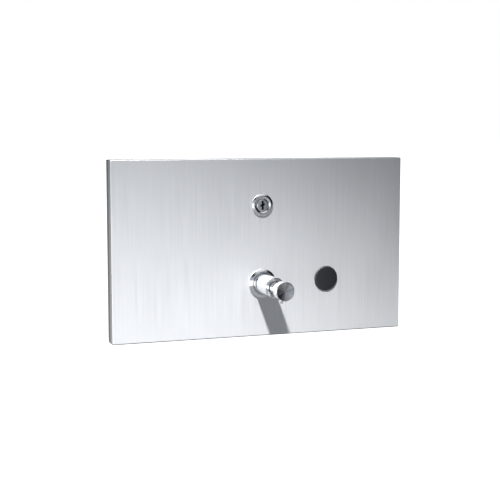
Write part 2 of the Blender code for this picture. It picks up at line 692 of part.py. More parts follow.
def tank(door_pivot):
    """The open-topped tank with its four ears, and the cover with the filler neck."""
    rim = COVER_UNDER - GAP
    shell = block((-TANK_X, TANK_X), (TANK_FRONT, TANK_BACK), (TANK_FLOOR, rim))
    body = piece("tank_body", shell, "mill_steel", (0, 0, 0), door_pivot)
    straps = [
        block((-EAR_X, EAR_X), (TANK_FRONT, EAR_BACK), (z - EAR_HEIGHT / 2, z + EAR_HEIGHT / 2))
        for z in EAR_HEIGHTS.values()
    ]
    shaped(body, "UNION", *straps)
    inner_x = TANK_X - TANK_SHEET
    inside = block(
        (-inner_x, inner_x), (EAR_BACK, TANK_BACK - TANK_SHEET), (TANK_FLOOR + TANK_SHEET, TANK_TOP)
    )
    shaped(body, "DIFFERENCE", inside)
    front = (TANK_FRONT - TANK_SHEET, EAR_BACK + TANK_SHEET)
    holes = [rod("Y", *front, SHANK_HOLE, (VALVE_AT.x, 0, VALVE_AT.z), ROUND)]
    holes.append(rod("Y", *front, WINDOW_HOLE, (WINDOW_AT.x, 0, WINDOW_AT.z), ROUND))
    holes += [rod("Y", *front, STUD_RADIUS + GAP, (x, 0, z), 16) for x, z in stud_places()]
    shaped(body, "DIFFERENCE", *holes)
    for number, (x, z) in enumerate(stud_places(), 1):
        under_arm = z == EAR_HEIGHTS["upper"]
        front = EAR_BACK + GAP + (ARM_SHEET + GAP if under_arm else 0)
        bore, finish = STUD_RADIUS + GAP, "spring_steel"
        name = f"tank_nut_{number}"
        hex_nut(name, NUT_FLATS, NUT_HEIGHT, bore, front, (x, 0, z), finish, 16, door_pivot)


def tank_cover(door_pivot):
    """The tank's cover: a plate with a rim inside the walls, the filler neck, and knuckles for the lid."""
    plate = block((-TANK_X, TANK_X), (TANK_FRONT, TANK_BACK), (COVER_UNDER, TANK_TOP))
    cover = piece("tank_cover", plate, "mill_steel", (0, 0, 0), door_pivot)
    inset = TANK_SHEET + GAP
    rim_x, rim_y = TANK_X - inset, (TANK_FRONT + inset, TANK_BACK - inset)
    rim = block((-rim_x, rim_x), rim_y, (COVER_UNDER - COVER_RIM, COVER_UNDER + TANK_SHEET / 2))
    half = NECK_WIDTH / 2
    neck = block((-half, half), (NECK_SETBACK, NECK_BACK), (TANK_TOP - TANK_SHEET / 2, NECK_TOP))
    shaped(cover, "UNION", rim, neck)
    inner_x = rim_x - COVER_RIM_SHEET
    inner_y = (rim_y[0] + COVER_RIM_SHEET, rim_y[1] - COVER_RIM_SHEET)
    inner_z = (COVER_UNDER - 2 * COVER_RIM, COVER_UNDER)
    shaped(cover, "DIFFERENCE", block((-inner_x, inner_x), inner_y, inner_z))
    half -= TANK_SHEET
    mouth_y = (NECK_SETBACK + TANK_SHEET, NECK_BACK - TANK_SHEET)
    mouth_z = (COVER_UNDER - COVER_RIM, NECK_TOP + NECK_HEIGHT)
    shaped(cover, "DIFFERENCE", block((-half, half), mouth_y, mouth_z))
    posts, barrels = [], []
    for start in (LID_KNUCKLE_LENGTH, -2 * LID_KNUCKLE_LENGTH):
        stretch = (start + GAP, start + LID_KNUCKLE_LENGTH - GAP)
        width = (LID_AT.y - LID_KNUCKLE_RADIUS * 0.8, LID_AT.y + LID_KNUCKLE_RADIUS * 0.8)
        posts.append(block(stretch, width, (TANK_TOP - TANK_SHEET / 2, LID_AT.z)))
        barrels.append(rod("X", *stretch, LID_KNUCKLE_RADIUS, (0, LID_AT.y, LID_AT.z), 20))
    shaped(cover, "UNION", *posts)
    shaped(cover, "UNION", *barrels)
    reach = 3 * LID_KNUCKLE_LENGTH
    shaped(cover, "DIFFERENCE", rod("X", -reach, reach, LID_PIN_RADIUS + GAP, (0, LID_AT.y, LID_AT.z), 16))
    half = 2 * LID_KNUCKLE_LENGTH
    piece("lid_pin", rod("X", -half, half, LID_PIN_RADIUS, sides=12), "spring_steel", LID_AT, door_pivot)


def filler_lid(lid_pivot):
    """The hinged lid over the filler neck, and the soft seal under it."""
    half = NECK_WIDTH / 2 + LID_OVERHANG
    front = NECK_SETBACK - LID_TAB - LID_AT.y
    under = LID_UNDER - LID_AT.z
    back = LID_BACK - LID_AT.y
    plate = block((-half, half), (front, back), (under, under + LID_SHEET))
    lid = piece("filler_lid", plate, "mill_steel", LID_AT, lid_pivot)
    stretch = (-LID_KNUCKLE_LENGTH + GAP, LID_KNUCKLE_LENGTH - GAP)
    web = block(stretch, (back - LID_OVERHANG / 2, 0), (under - LID_SHEET / 4, under + LID_SHEET * 0.7))
    shaped(lid, "UNION", web)
    shaped(lid, "UNION", rod("X", *stretch, LID_KNUCKLE_RADIUS, sides=20))
    shaped(lid, "DIFFERENCE", rod("X", -half, half, LID_PIN_RADIUS + GAP, sides=16))
    half = NECK_WIDTH / 2 + GAP
    seal_y = (NECK_SETBACK - GAP - LID_AT.y, NECK_BACK + GAP - LID_AT.y)
    seal = block((-half, half), seal_y, (under - GAP - LID_SEAL, under - GAP))
    piece("lid_seal", seal, "rubber", LID_AT, lid_pivot)


def stop_arms(door_pivot):
    """The two curved arms that follow circles round the hinge and hook behind the stop pins."""
    end, stop_face, front = arm_angles()
    inner, outer = arm_middle() - ARM_WIDTH / 2, arm_middle() + ARM_WIDTH / 2
    hook = arc((0, 0), arm_tip(), end, stop_face, 2)
    outline = arc((0, 0), inner, front, end, 18) + hook + arc((0, 0), outer, stop_face, front, 17)
    stud_z = EAR_HEIGHTS["upper"] - HINGE_AT.z
    ends = (stud_z - ARM_FOOT_HEIGHT / 2, stud_z + ARM_FOOT_HEIGHT / 2, inner, outer)
    foot_y = (EAR_BACK + GAP - HINGE_AT.y, EAR_BACK + GAP + ARM_SHEET - HINGE_AT.y)
    for side, sign in (("left", -1), ("right", 1)):
        strip = prism("X", outline, *sorted((sign * ARM_EDGE, sign * (ARM_EDGE - ARM_SHEET))))
        arm = piece(f"stop_arm_{side}", strip, "mill_steel", HINGE_AT, door_pivot)
        width = sorted((sign * (ARM_EDGE - ARM_SHEET / 2), sign * EAR_X))
        shaped(arm, "UNION", block(width, foot_y, (min(ends), max(ends))))
        hole = rod("Y", -RETURN_DEPTH, RETURN_DEPTH, STUD_RADIUS + GAP, (sign * STUD_X, 0, stud_z), 16)
        shaped(arm, "DIFFERENCE", hole)


def window(door_pivot):
    """The level window: a smoked lens through the door and the tank, its gasket and its ring nut."""
    base = 2 * GAP + WINDOW_GASKET
    crown = WINDOW_HEIGHT * 0.7
    outline = [
        (out(WINDOW_HEIGHT), 0),
        (out(WINDOW_HEIGHT), WINDOW_RADIUS * 0.86),
        (out(crown), WINDOW_RADIUS),
        (out(base), WINDOW_RADIUS),
        (out(base), WINDOW_SHANK_RADIUS),
        (WINDOW_SHANK_LENGTH, WINDOW_SHANK_RADIUS),
        (WINDOW_SHANK_LENGTH, 0),
    ]
    piece("window_lens", turned("Y", outline, ROUND), "smoked_acrylic", WINDOW_AT, door_pivot)
    rim = WINDOW_RADIUS - GAP
    ends = (out(GAP), out(base - GAP))
    gasket = [(ends[0], WINDOW_HOLE), (ends[0], rim), (ends[1], rim), (ends[1], WINDOW_HOLE)]
    piece("window_gasket", turned("Y", gasket, ROUND), "rubber", WINDOW_AT, door_pivot)
    front = EAR_BACK + GAP - FACE_Y
    back = front + WINDOW_NUT_HEIGHT
    outer = WINDOW_SHANK_RADIUS + WINDOW_NUT_WALL
    nut = [(front, WINDOW_HOLE), (front, outer), (back, outer), (back, WINDOW_HOLE)]
    piece("window_nut", turned("Y", nut, 24), "nylon", WINDOW_AT, door_pivot)


# --- push valve ---


def valve_body(door_pivot):
    """The fixed half of the valve: escutcheon, barrel, gasket, nut and the stem's guide bushing."""
    chamfer = 0.001
    outline = [
        (out(GAP), SHANK_HOLE),
        (out(GAP), ESCUTCHEON_RADIUS),
        (out(ESCUTCHEON_HEIGHT - chamfer), ESCUTCHEON_RADIUS),
        (out(ESCUTCHEON_HEIGHT), ESCUTCHEON_RADIUS - chamfer),
        (out(ESCUTCHEON_HEIGHT), SHANK_HOLE),
    ]
    piece("valve_escutcheon", turned("Y", outline, ROUND), "chrome", VALVE_AT, door_pivot)
    shoulder = ESCUTCHEON_HEIGHT + GAP
    step = BARREL_FRONT - BARREL_END_WALL
    outline = [
        (out(BARREL_FRONT), STEM_GUIDE),
        (out(BARREL_FRONT), BARREL_RADIUS - chamfer / 2),
        (out(BARREL_FRONT - chamfer / 2), BARREL_RADIUS),
        (out(shoulder), BARREL_RADIUS),
        (out(shoulder), SHANK_RADIUS),
        (SHANK_LENGTH, SHANK_RADIUS),
        (SHANK_LENGTH, BARREL_BORE),
        (out(step), BARREL_BORE),
        (out(step), STEM_GUIDE),
    ]
    piece("valve_barrel", turned("Y", outline, ROUND), "chrome", VALVE_AT, door_pivot)
    near, far, rim = VALVE_GASKET_AT, VALVE_GASKET_AT + VALVE_GASKET, SHANK_RADIUS + VALVE_GASKET_WALL
    ring = [(near, SHANK_HOLE), (near, rim), (far, rim), (far, SHANK_HOLE)]
    piece("valve_gasket", turned("Y", ring, 24), "rubber", VALVE_AT, door_pivot)
    flats = 2 * (SHANK_RADIUS + VALVE_NUT_WALL)
    front = FACE_Y + VALVE_NUT_AT
    hex_nut("valve_nut", flats, VALVE_NUT_HEIGHT, SHANK_HOLE, front, VALVE_AT, "brass", 24, door_pivot)
    sleeve = BARREL_BORE - GAP
    near, far = out(BUSHING_FRONT), out(BUSHING_BACK)
    ring = [(near, STEM_GUIDE), (near, sleeve), (far, sleeve), (far, STEM_GUIDE)]
    piece("guide_bushing", turned("Y", ring), "nylon", VALVE_AT, door_pivot)


def inlet(door_pivot):
    """The inlet end, in the tank: the ported seat, its umbrella valve, the cap and the pickup tube."""
    radius = BARREL_BORE - GAP
    outline = [
        (out(SEAT_FRONT), UMBRELLA_STEM + GAP),
        (out(SEAT_FRONT), radius),
        (out(SEAT_BACK), radius),
        (out(SEAT_BACK), UMBRELLA_STEM + GAP),
    ]
    seat = piece("inlet_seat", turned("Y", outline), "nylon", VALVE_AT, door_pivot)
    front, back = out(SEAT_FRONT + CUT_PAST), out(SEAT_BACK - CUT_PAST)
    ports = []
    for quarter in range(4):
        angle = math.tau * quarter / 4
        centre = (SEAT_PORT_CIRCLE * math.cos(angle), 0, SEAT_PORT_CIRCLE * math.sin(angle))
        ports.append(rod("Y", front, back, SEAT_PORT_RADIUS, centre, 10))
    shaped(seat, "DIFFERENCE", *ports)
    disc = SEAT_FRONT + GAP
    umbrella = SPRING_RADIUS - SPRING_WIRE - 2 * GAP
    outline = [
        (out(disc + UMBRELLA_STEM), 0),
        (out(disc + UMBRELLA_STEM * 0.7), umbrella * 0.8),
        (out(disc), umbrella),
        (out(disc), UMBRELLA_STEM),
        (out(SEAT_BACK - UMBRELLA_STEM), UMBRELLA_STEM),
        (out(SEAT_BACK - UMBRELLA_STEM), 0),
    ]
    piece("inlet_valve", turned("Y", outline, 16), "rubber", VALVE_AT, door_pivot)
    plug = -SEAT_BACK + UMBRELLA_STEM + GAP
    flange = SHANK_LENGTH + GAP
    end = flange + CAP_FLANGE
    bore = CAP_NIPPLE_RADIUS - CAP_NIPPLE_WALL
    outline = [
        (plug, bore),
        (plug, radius),
        (flange, radius),
        (flange, SHANK_RADIUS),
        (end, SHANK_RADIUS),
        (end, CAP_NIPPLE_RADIUS),
        (end + CAP_NIPPLE_LENGTH, CAP_NIPPLE_RADIUS),
        (end + CAP_NIPPLE_LENGTH, bore),
    ]
    piece("inlet_cap", turned("Y", outline), "nylon", VALVE_AT, door_pivot)
    start = end + 2 * GAP
    turn = end + CAP_NIPPLE_LENGTH + GAP
    floor = TANK_FLOOR + TANK_SHEET + PICKUP_FLOOR_SPACE - VALVE_AT.z
    bend = arc((turn, -PICKUP_BEND), PICKUP_BEND, math.pi / 2, 0, 8)
    path = [Vector((0, y, z)) for y, z in [(start, 0), *bend, (turn + PICKUP_BEND, floor)]]
    bore = CAP_NIPPLE_RADIUS + GAP
    piece("pickup_tube", swept(path, bore + PICKUP_WALL, bore, 12), "clear_tube", VALVE_AT, door_pivot)


def return_spring(door_pivot):
    """The coil spring between the inlet seat and the piston."""
    low = -SEAT_FRONT - GAP - SPRING_WIRE
    high = out(PISTON_BACK) + GAP + SPRING_WIRE
    steps = round(SPRING_TURNS * 12)
    path = []
    for step in range(steps + 1):
        angle = math.tau * SPRING_TURNS * step / steps
        y = low + (high - low) * step / steps
        path.append(Vector((SPRING_RADIUS * math.cos(angle), y, SPRING_RADIUS * math.sin(angle))))
    piece("return_spring", swept(path, SPRING_WIRE, sides=6), "spring_steel", VALVE_AT, door_pivot)


def plunger(button_pivot):
    """The moving half of the valve: button, hollow stem, nozzle, piston with its seal, and outlet valve."""
    chamfer = 0.0005
    socket = STEM_SPIGOT + GAP
    depth = BUTTON_BACK + SPIGOT_LENGTH + GAP
    outline = [
        (out(BUTTON_FACE), 0),
        (out(BUTTON_FACE), BUTTON_RADIUS - chamfer),
        (out(BUTTON_FACE - chamfer), BUTTON_RADIUS),
        (out(BUTTON_BACK + chamfer), BUTTON_RADIUS),
        (out(BUTTON_BACK), BUTTON_RADIUS - chamfer),
        (out(BUTTON_BACK), socket),
        (out(depth), socket),
        (out(depth), 0),
    ]
    piece("push_button", turned("Y", outline, ROUND), "chrome", VALVE_AT, button_pivot)
    front, back = BUTTON_BACK - GAP, PISTON_FRONT + GAP
    tail = PISTON_BACK - STEM_BORE
    outline = [
        (out(front + SPIGOT_LENGTH), 0),
        (out(front + SPIGOT_LENGTH), STEM_SPIGOT),
        (out(front), STEM_SPIGOT),
        (out(front), STEM_RADIUS),
        (out(back), STEM_RADIUS),
        (out(back), STEM_SPIGOT),
        (out(tail), STEM_SPIGOT),
        (out(tail), 0),
    ]
    stem = piece("valve_stem", turned("Y", outline, 28), "chrome", VALVE_AT, button_pivot)
    channel = rod("Y", out(NOZZLE_AT), out(tail - STEM_BORE), STEM_BORE, sides=16)
    shaped(stem, "DIFFERENCE", channel)
    socket = NOZZLE_RADIUS + GAP
    cross = rod("Z", -2 * STEM_RADIUS, STEM_BORE / 3, socket, (0, out(NOZZLE_AT), 0), 18)
    shaped(stem, "DIFFERENCE", cross)
    root = -STEM_RADIUS / 2
    outline = [
        (root, NOZZLE_BORE),
        (root, NOZZLE_RADIUS),
        (-NOZZLE_DROP + NOZZLE_TAPER, NOZZLE_RADIUS),
        (-NOZZLE_DROP, NOZZLE_TIP_RADIUS),
        (-NOZZLE_DROP, NOZZLE_BORE),
    ]
    nozzle = turned("Z", outline, 20, (0, out(NOZZLE_AT), 0))
    piece("nozzle", nozzle, "chrome", VALVE_AT, button_pivot)
    bore = STEM_SPIGOT + GAP
    seal_groove = PISTON_RADIUS - SEAL_DEPTH
    middle = (PISTON_FRONT + PISTON_BACK) / 2
    groove = (middle + SEAL_WIDTH / 2, middle - SEAL_WIDTH / 2)
    outline = [
        (out(PISTON_FRONT), bore),
        (out(PISTON_FRONT), PISTON_RADIUS),
        (out(groove[0]), PISTON_RADIUS),
        (out(groove[0]), seal_groove),
        (out(groove[1]), seal_groove),
        (out(groove[1]), PISTON_RADIUS),
        (out(PISTON_BACK), PISTON_RADIUS),
        (out(PISTON_BACK), bore),
    ]
    piece("piston", turned("Y", outline), "nylon", VALVE_AT, button_pivot)
    half = SEAL_WIDTH / 2 - GAP
    rim = BARREL_BORE - SEAL_CLEARANCE
    ring = [(-half, seal_groove + GAP), (-half, rim), (half, rim), (half, seal_groove + GAP)]
    seal = turned("Y", ring, centre=(0, out(middle), 0))
    piece("piston_seal", seal, "rubber", VALVE_AT, button_pivot)
    plug = STEM_BORE - GAP
    outline = [
        (out(tail + STEM_BORE), 0),
        (out(tail + STEM_BORE), plug),
        (out(tail - GAP), plug),
        (out(tail - GAP), STEM_SPIGOT * 0.9),
        (out(tail - GAP - OUTLET_FLANGE), STEM_SPIGOT * 0.9),
        (out(tail - OUTLET_LENGTH), plug / 2),
        (out(tail - OUTLET_LENGTH), 0),
    ]
    piece("outlet_valve", turned("Y", outline, 16), "rubber", VALVE_AT, button_pivot)


# --- lock ---


def lock_body(door_pivot):
    """The lock's housing through the door, and its nut."""
    bore = PLUG_RADIUS + GAP
    head = LOCK_HEAD_HEIGHT + GAP
    round_off = 0.0008
    outline = [
        (out(head), bore),
        (out(head), LOCK_HEAD_RADIUS - round_off),
        (out(head - round_off), LOCK_HEAD_RADIUS),
        (out(GAP), LOCK_HEAD_RADIUS),
        (out(GAP), LOCK_BODY_RADIUS),
        (LOCK_BODY_LENGTH, LOCK_BODY_RADIUS),
        (LOCK_BODY_LENGTH, bore),
    ]
    piece("lock_housing", turned("Y", outline, ROUND), "chrome", LOCK_AT, door_pivot)
    front = DOOR_BACK + GAP
    hex_nut("lock_nut", LOCK_NUT_FLATS, LOCK_NUT_HEIGHT, LOCK_HOLE, front, LOCK_AT, "brass", 24, door_pivot)


def lock_turning_parts(lock_pivot):
    """The plug with its keyway, the cam that points to the left when unlocked, and the cam's screw."""
    face = LOCK_HEAD_HEIGHT + GAP - PLUG_RECESS
    barrel = rod("Y", out(face), PLUG_BACK, PLUG_RADIUS, sides=28)
    plug = piece("lock_plug", barrel, "chrome", LOCK_AT, lock_pivot)
    half = DRIVE_SQUARE / 2
    tail = PLUG_BACK + CAM_SHEET
    shaped(plug, "UNION", block((-half, half), (PLUG_BACK - half, tail), (-half, half)))
    half_w, half_h = KEYWAY_WIDTH / 2, KEYWAY_HEIGHT / 2
    keyway = block((-half_w, half_w), (out(face + GAP), out(face) + KEYWAY_DEPTH), (-half_h, half_h))
    shaped(plug, "DIFFERENCE", keyway)
    hole = rod("Y", tail - CAM_SCREW_LENGTH, tail + GAP, CAM_SCREW_RADIUS + GAP, sides=16)
    shaped(plug, "DIFFERENCE", hole)
    half = CAM_WIDTH / 2
    tip = arc((-(CAM_REACH - half), 0), half, math.pi / 2, 3 * math.pi / 2, 10)
    corner = math.asin(half / CAM_HUB_RADIUS)
    hub = arc((0, 0), CAM_HUB_RADIUS, -corner, corner, 10)
    front = PLUG_BACK + GAP
    shape = prism("Y", tip + hub, front, front + CAM_SHEET)
    cam = piece("lock_cam", shape, "mill_steel", LOCK_AT, lock_pivot)
    half = DRIVE_SQUARE / 2 + GAP
    through = (front - CUT_PAST, front + CAM_SHEET + CUT_PAST)
    shaped(cam, "DIFFERENCE", block((-half, half), through, (-half, half)))
    under = front + CAM_SHEET + GAP
    outline = [
        (tail - CAM_SCREW_LENGTH + 2 * GAP, 0),
        (tail - CAM_SCREW_LENGTH + 2 * GAP, CAM_SCREW_RADIUS),
        (under, CAM_SCREW_RADIUS),
        (under, CAM_SCREW_HEAD),
        (under + CAM_SCREW_RADIUS, CAM_SCREW_HEAD * 0.8),
        (under + CAM_SCREW_RADIUS, 0),
    ]
    screw = piece("cam_screw", turned("Y", outline, 20), "spring_steel", LOCK_AT, lock_pivot)
    end = under + CAM_SCREW_RADIUS
    half = CAM_SCREW_SLOT / 2
    slot = block((-CAM_SCREW_HEAD, CAM_SCREW_HEAD), (end - CAM_SCREW_SLOT, end + CUT_PAST), (-half, half))
    shaped(screw, "DIFFERENCE", slot)


def build():
    clear_scene()
    door_pivot = pivot("door_pivot", HINGE_AT)
    button_pivot = pivot("button_pivot", VALVE_AT)
    lock_pivot = pivot("lock_pivot", LOCK_AT)
    lid_pivot = pivot("lid_pivot", LID_AT)
    wall_box()
    door_hinge(door_pivot)
    strike()
    stop_pins()
    bumpers()
    door_plate(door_pivot)
    tank(door_pivot)
    tank_cover(door_pivot)
    filler_lid(lid_pivot)
    stop_arms(door_pivot)
    window(door_pivot)
    valve_body(door_pivot)
    inlet(door_pivot)
    return_spring(door_pivot)
    plunger(button_pivot)
    lock_body(door_pivot)
    lock_turning_parts(lock_pivot)


build()
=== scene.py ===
import json
import math

import bmesh
import bpy
from mathutils import Matrix, Vector


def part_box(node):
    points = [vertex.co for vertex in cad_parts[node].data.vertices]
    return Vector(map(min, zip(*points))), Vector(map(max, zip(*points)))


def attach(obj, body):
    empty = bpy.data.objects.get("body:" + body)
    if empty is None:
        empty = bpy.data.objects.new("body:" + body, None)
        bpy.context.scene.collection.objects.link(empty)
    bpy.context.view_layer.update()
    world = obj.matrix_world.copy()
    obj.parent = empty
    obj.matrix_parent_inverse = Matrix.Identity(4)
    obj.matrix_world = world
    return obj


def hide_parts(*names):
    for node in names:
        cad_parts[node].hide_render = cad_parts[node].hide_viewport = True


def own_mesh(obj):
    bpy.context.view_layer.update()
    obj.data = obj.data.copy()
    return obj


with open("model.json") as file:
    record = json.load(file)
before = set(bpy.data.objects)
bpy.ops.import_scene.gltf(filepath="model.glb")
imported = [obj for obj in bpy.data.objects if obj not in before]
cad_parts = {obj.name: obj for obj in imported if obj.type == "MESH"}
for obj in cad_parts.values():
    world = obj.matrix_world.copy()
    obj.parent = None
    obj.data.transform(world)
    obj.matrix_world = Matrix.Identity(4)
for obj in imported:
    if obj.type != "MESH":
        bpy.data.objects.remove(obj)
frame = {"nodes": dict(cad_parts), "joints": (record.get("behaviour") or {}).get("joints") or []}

bl_info = {
    "name": "Wall Soap Dispenser",
    "version": (1, 0, 0),
    "blender": (4, 5, 0),
    "location": "3D View > Sidebar > Dispenser",
    "description": "Fine pieces, finishes and a stage for a recessed wall soap dispenser",
    "category": "Add Mesh",
}

X, Y, Z = Vector((1, 0, 0)), Vector((0, 1, 0)), Vector((0, 0, 1))
MERGE = 0.00001  # points nearer than this are one point
CUT_PAST = 0.001  # how far a cutting shape goes on past what it cuts

# Radii of the door's three holes and of the bore in a stud's nut.
LOCK_HOLE, VALVE_HOLE, WINDOW_HOLE, STUD_HOLE = 0.0092, 0.0093, 0.0103, 0.0023
SHANK_PITCH, SHANK_THREAD = 0.001, 0.0004  # pitch and depth of the lock's and the valve's threads
TANK_STUDS = range(1, 5)

# The key light stands off from the valve and points at X and Z in the door's plane.
KEY_OFFSET = Vector((-0.291, -0.543, 0.787)) * 2.2
KEY_AIM_X, KEY_AIM_Z = 0.2054, -1.2929
KEY_BEAM = math.radians(32.28)
UNLIT_BY_KEY = ("floor", "escutcheon", "barrel", "stem", "button", "spout", "lock_head", "plug")
FILL_AT, FILL_SIZE = Vector((-0.9, -1.3, -0.25)), 1.1
FRONT_GLOW = 0.035  # the floor's own light in front of the object
SURROUND_FRONT = (0.51, 0.54, 0.59)  # the studio's colour in front on the left
WHITE = (1.0, 1.0, 1.0)


def middle(node):
    """The centre of a CAD node's box."""
    low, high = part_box(node)
    return (low + high) / 2


FACE_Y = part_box("door_plate")[0].y
VALVE_AT = Vector((middle("valve_barrel").x, FACE_Y, middle("valve_barrel").z))
LOCK_AT = Vector((middle("lock_housing").x, FACE_Y, middle("lock_housing").z))
PLUG_FACE_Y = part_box("lock_plug")[0].y
WINDOW_AT = Vector((middle("window_lens").x, FACE_Y, middle("window_lens").z))
DOOR_HINGE = next(joint for joint in frame["joints"] if joint["name"] == "door_hinge")
HINGE_AT = Vector(DOOR_HINGE["pos_m"])
OPEN_ANGLE = math.radians(DOOR_HINGE["range_deg"][1])


# --- sizes and colours that a user would change ---


class DispenserSizes(bpy.types.PropertyGroup):
    """Sizes of the fine pieces."""

    bend: bpy.props.FloatProperty(
        name="Bend radius", description="Outer radius of the door's bent edges",
        default=0.0011, min=0.0002, max=0.003, unit="LENGTH")
    door_sheet: bpy.props.FloatProperty(
        name="Door sheet", description="Thickness of the door's sheet",
        default=0.0012, min=0.0006, max=0.003, unit="LENGTH")
    edge_break: bpy.props.FloatProperty(
        name="Edge break", description="Rounding left on cut and machined edges",
        default=0.00015, min=0.00005, max=0.0005, unit="LENGTH")
    thread_pitch: bpy.props.FloatProperty(
        name="Thread pitch", description="Pitch of the studs' threads",
        default=0.0007, min=0.0003, max=0.002, unit="LENGTH")
    round_steps: bpy.props.IntProperty(
        name="Round steps", description="Facets round a turned piece", default=96, min=24, max=180)


class DispenserFinishes(bpy.types.PropertyGroup):
    """Colours and roughness of the finishes."""

    satin: bpy.props.FloatVectorProperty(
        name="Satin steel", description="Colour of the door's brushed steel",
        subtype="COLOR", size=3, default=(0.60, 0.61, 0.625), min=0, max=1)
    satin_roughness: bpy.props.FloatProperty(
        name="Satin roughness", description="Roughness of the door's brushed steel",
        default=0.52, min=0.1, max=0.9, subtype="FACTOR")
    mill: bpy.props.FloatVectorProperty(
        name="Mill steel", description="Colour of the box's and tank's plain sheet",
        subtype="COLOR", size=3, default=(0.53, 0.54, 0.55), min=0, max=1)
    chrome: bpy.props.FloatVectorProperty(
        name="Chrome", description="Colour of the polished plating",
        subtype="COLOR", size=3, default=(0.84, 0.85, 0.865), min=0, max=1)
    brass: bpy.props.FloatVectorProperty(
        name="Brass", description="Colour of the nuts behind the door",
        subtype="COLOR", size=3, default=(0.72, 0.55, 0.27), min=0, max=1)
    zinc: bpy.props.FloatVectorProperty(
        name="Zinc", description="Colour of the plated pins, rivets, nuts and the spring",
        subtype="COLOR", size=3, default=(0.55, 0.56, 0.57), min=0, max=1)
    rubber: bpy.props.FloatVectorProperty(
        name="Rubber", description="Colour of the seals and bumpers",
        subtype="COLOR", size=3, default=(0.022, 0.022, 0.023), min=0, max=1)
    nylon: bpy.props.FloatVectorProperty(
        name="Nylon", description="Colour of the moulded fittings",
        subtype="COLOR", size=3, default=(0.78, 0.77, 0.72), min=0, max=1)
    tube: bpy.props.FloatVectorProperty(
        name="Tube", description="Colour of the pickup tube",
        subtype="COLOR", size=3, default=(0.74, 0.79, 0.80), min=0, max=1)
    lens: bpy.props.FloatVectorProperty(
        name="Smoked lens", description="Colour of the level window",
        subtype="COLOR", size=3, default=(0.010, 0.011, 0.012), min=0, max=1)


class DispenserStage(bpy.types.PropertyGroup):
    """The camera, the lights and the floor."""

    azimuth: bpy.props.FloatProperty(
        name="Azimuth", description="Camera's turn round the object", default=math.radians(-19.66),
        subtype="ANGLE")
    elevation: bpy.props.FloatProperty(
        name="Elevation", description="Camera's height above the horizon", default=math.radians(6.17),
        subtype="ANGLE")
    camera_at: bpy.props.FloatVectorProperty(
        name="Camera place", description="Where the camera stands", size=3, subtype="TRANSLATION",
        default=(-0.3711, -1.0194, 0.1135))
    focal_length: bpy.props.FloatProperty(
        name="Focal length", description="Camera's focal length in millimetres", default=78.8)
    floor_drop: bpy.props.FloatProperty(
        name="Floor drop", description="Floor's distance below the origin", default=0.45,
        unit="LENGTH")
    key_power: bpy.props.FloatProperty(
        name="Key light", description="Power of the light that casts the shadow", default=2642.0,
        unit="POWER")
    fill_power: bpy.props.FloatProperty(
        name="Fill light", description="Power of the wide light at the lower left", default=4.4,
        unit="POWER")
    surround: bpy.props.FloatProperty(
        name="Surround", description="Brightness of the studio round the object", default=0.9)


# --- shaping ---


def block(low, high):
    """A bmesh box between two corners."""
    shape = bmesh.new()
    low, high = Vector(low), Vector(high)
    size = Matrix.Diagonal((*(high - low), 1))
    bmesh.ops.create_cube(shape, size=1, matrix=Matrix.Translation((low + high) / 2) @ size)
    return shape


def turned(at, axis, outline, steps=96):
    """A turned body from (distance along the axis, radius) pairs. One that stays off the axis is a ring."""
    across = X if abs(axis.x) < 0.5 else Z
    shape = bmesh.new()
    points = [shape.verts.new(at + axis * station + across * radius) for station, radius in outline]
    ring = outline[0][1] > 0 and outline[-1][1] > 0
    for near, far in zip(points, points[1:] + points[:1] if ring else points[1:]):
        shape.edges.new((near, far))
    bmesh.ops.spin(
        shape, geom=shape.verts[:] + shape.edges[:], cent=at, axis=axis, dvec=(0, 0, 0),
        angle=math.tau, steps=steps, use_merge=True, use_normal_flip=False, use_duplicate=False)
    bmesh.ops.remove_doubles(shape, verts=shape.verts, dist=MERGE)
    bmesh.ops.recalc_face_normals(shape, faces=shape.faces)
    return shape


def rod(at, axis, start, end, radius, steps=48):
    return turned(at, axis, [(start, 0), (start, radius), (end, radius), (end, 0)], steps)


def hexagon(at, axis, start, end, flats):
    """A six-sided prism with a corner up."""
    corner = flats / math.sqrt(3)
    shape = turned(at, axis, [(start, 0), (start, corner), (end, corner), (end, 0)], 6)
    turn = Matrix.Rotation(math.radians(30), 3, axis)
    bmesh.ops.rotate(shape, verts=shape.verts, cent=at, matrix=turn)
    return shape


def corners(shape, angle, near):
    """The edges where two faces meet at more than the angle, or those of them that near accepts."""
    found = [edge for edge in shape.edges
             if len(edge.link_faces) == 2 and edge.calc_face_angle(0) > math.radians(angle)]
    return [edge for edge in found if near is None or near(edge)]


def in_front_of(depth):
    """Accepts an edge that lies in front of a depth."""
    return lambda edge: all(vert.co.y < depth for vert in edge.verts)


def eased(shape, size, segments=3, angle=30, near=None):
    """Rounds the corners sharper than the angle."""
    bmesh.ops.bevel(
        shape, geom=corners(shape, angle, near), offset=size, offset_type="OFFSET", segments=segments,
        profile=0.5, affect="EDGES", clamp_overlap=True, material=-1)
    return shape


def thing(name, shape):
    """A mesh object from a bmesh, which it frees."""
    mesh = bpy.data.meshes.new(name)
    shape.to_mesh(mesh)
    shape.free()
    obj = bpy.data.objects.new(name, mesh)
    bpy.context.scene.collection.objects.link(obj)
    return obj


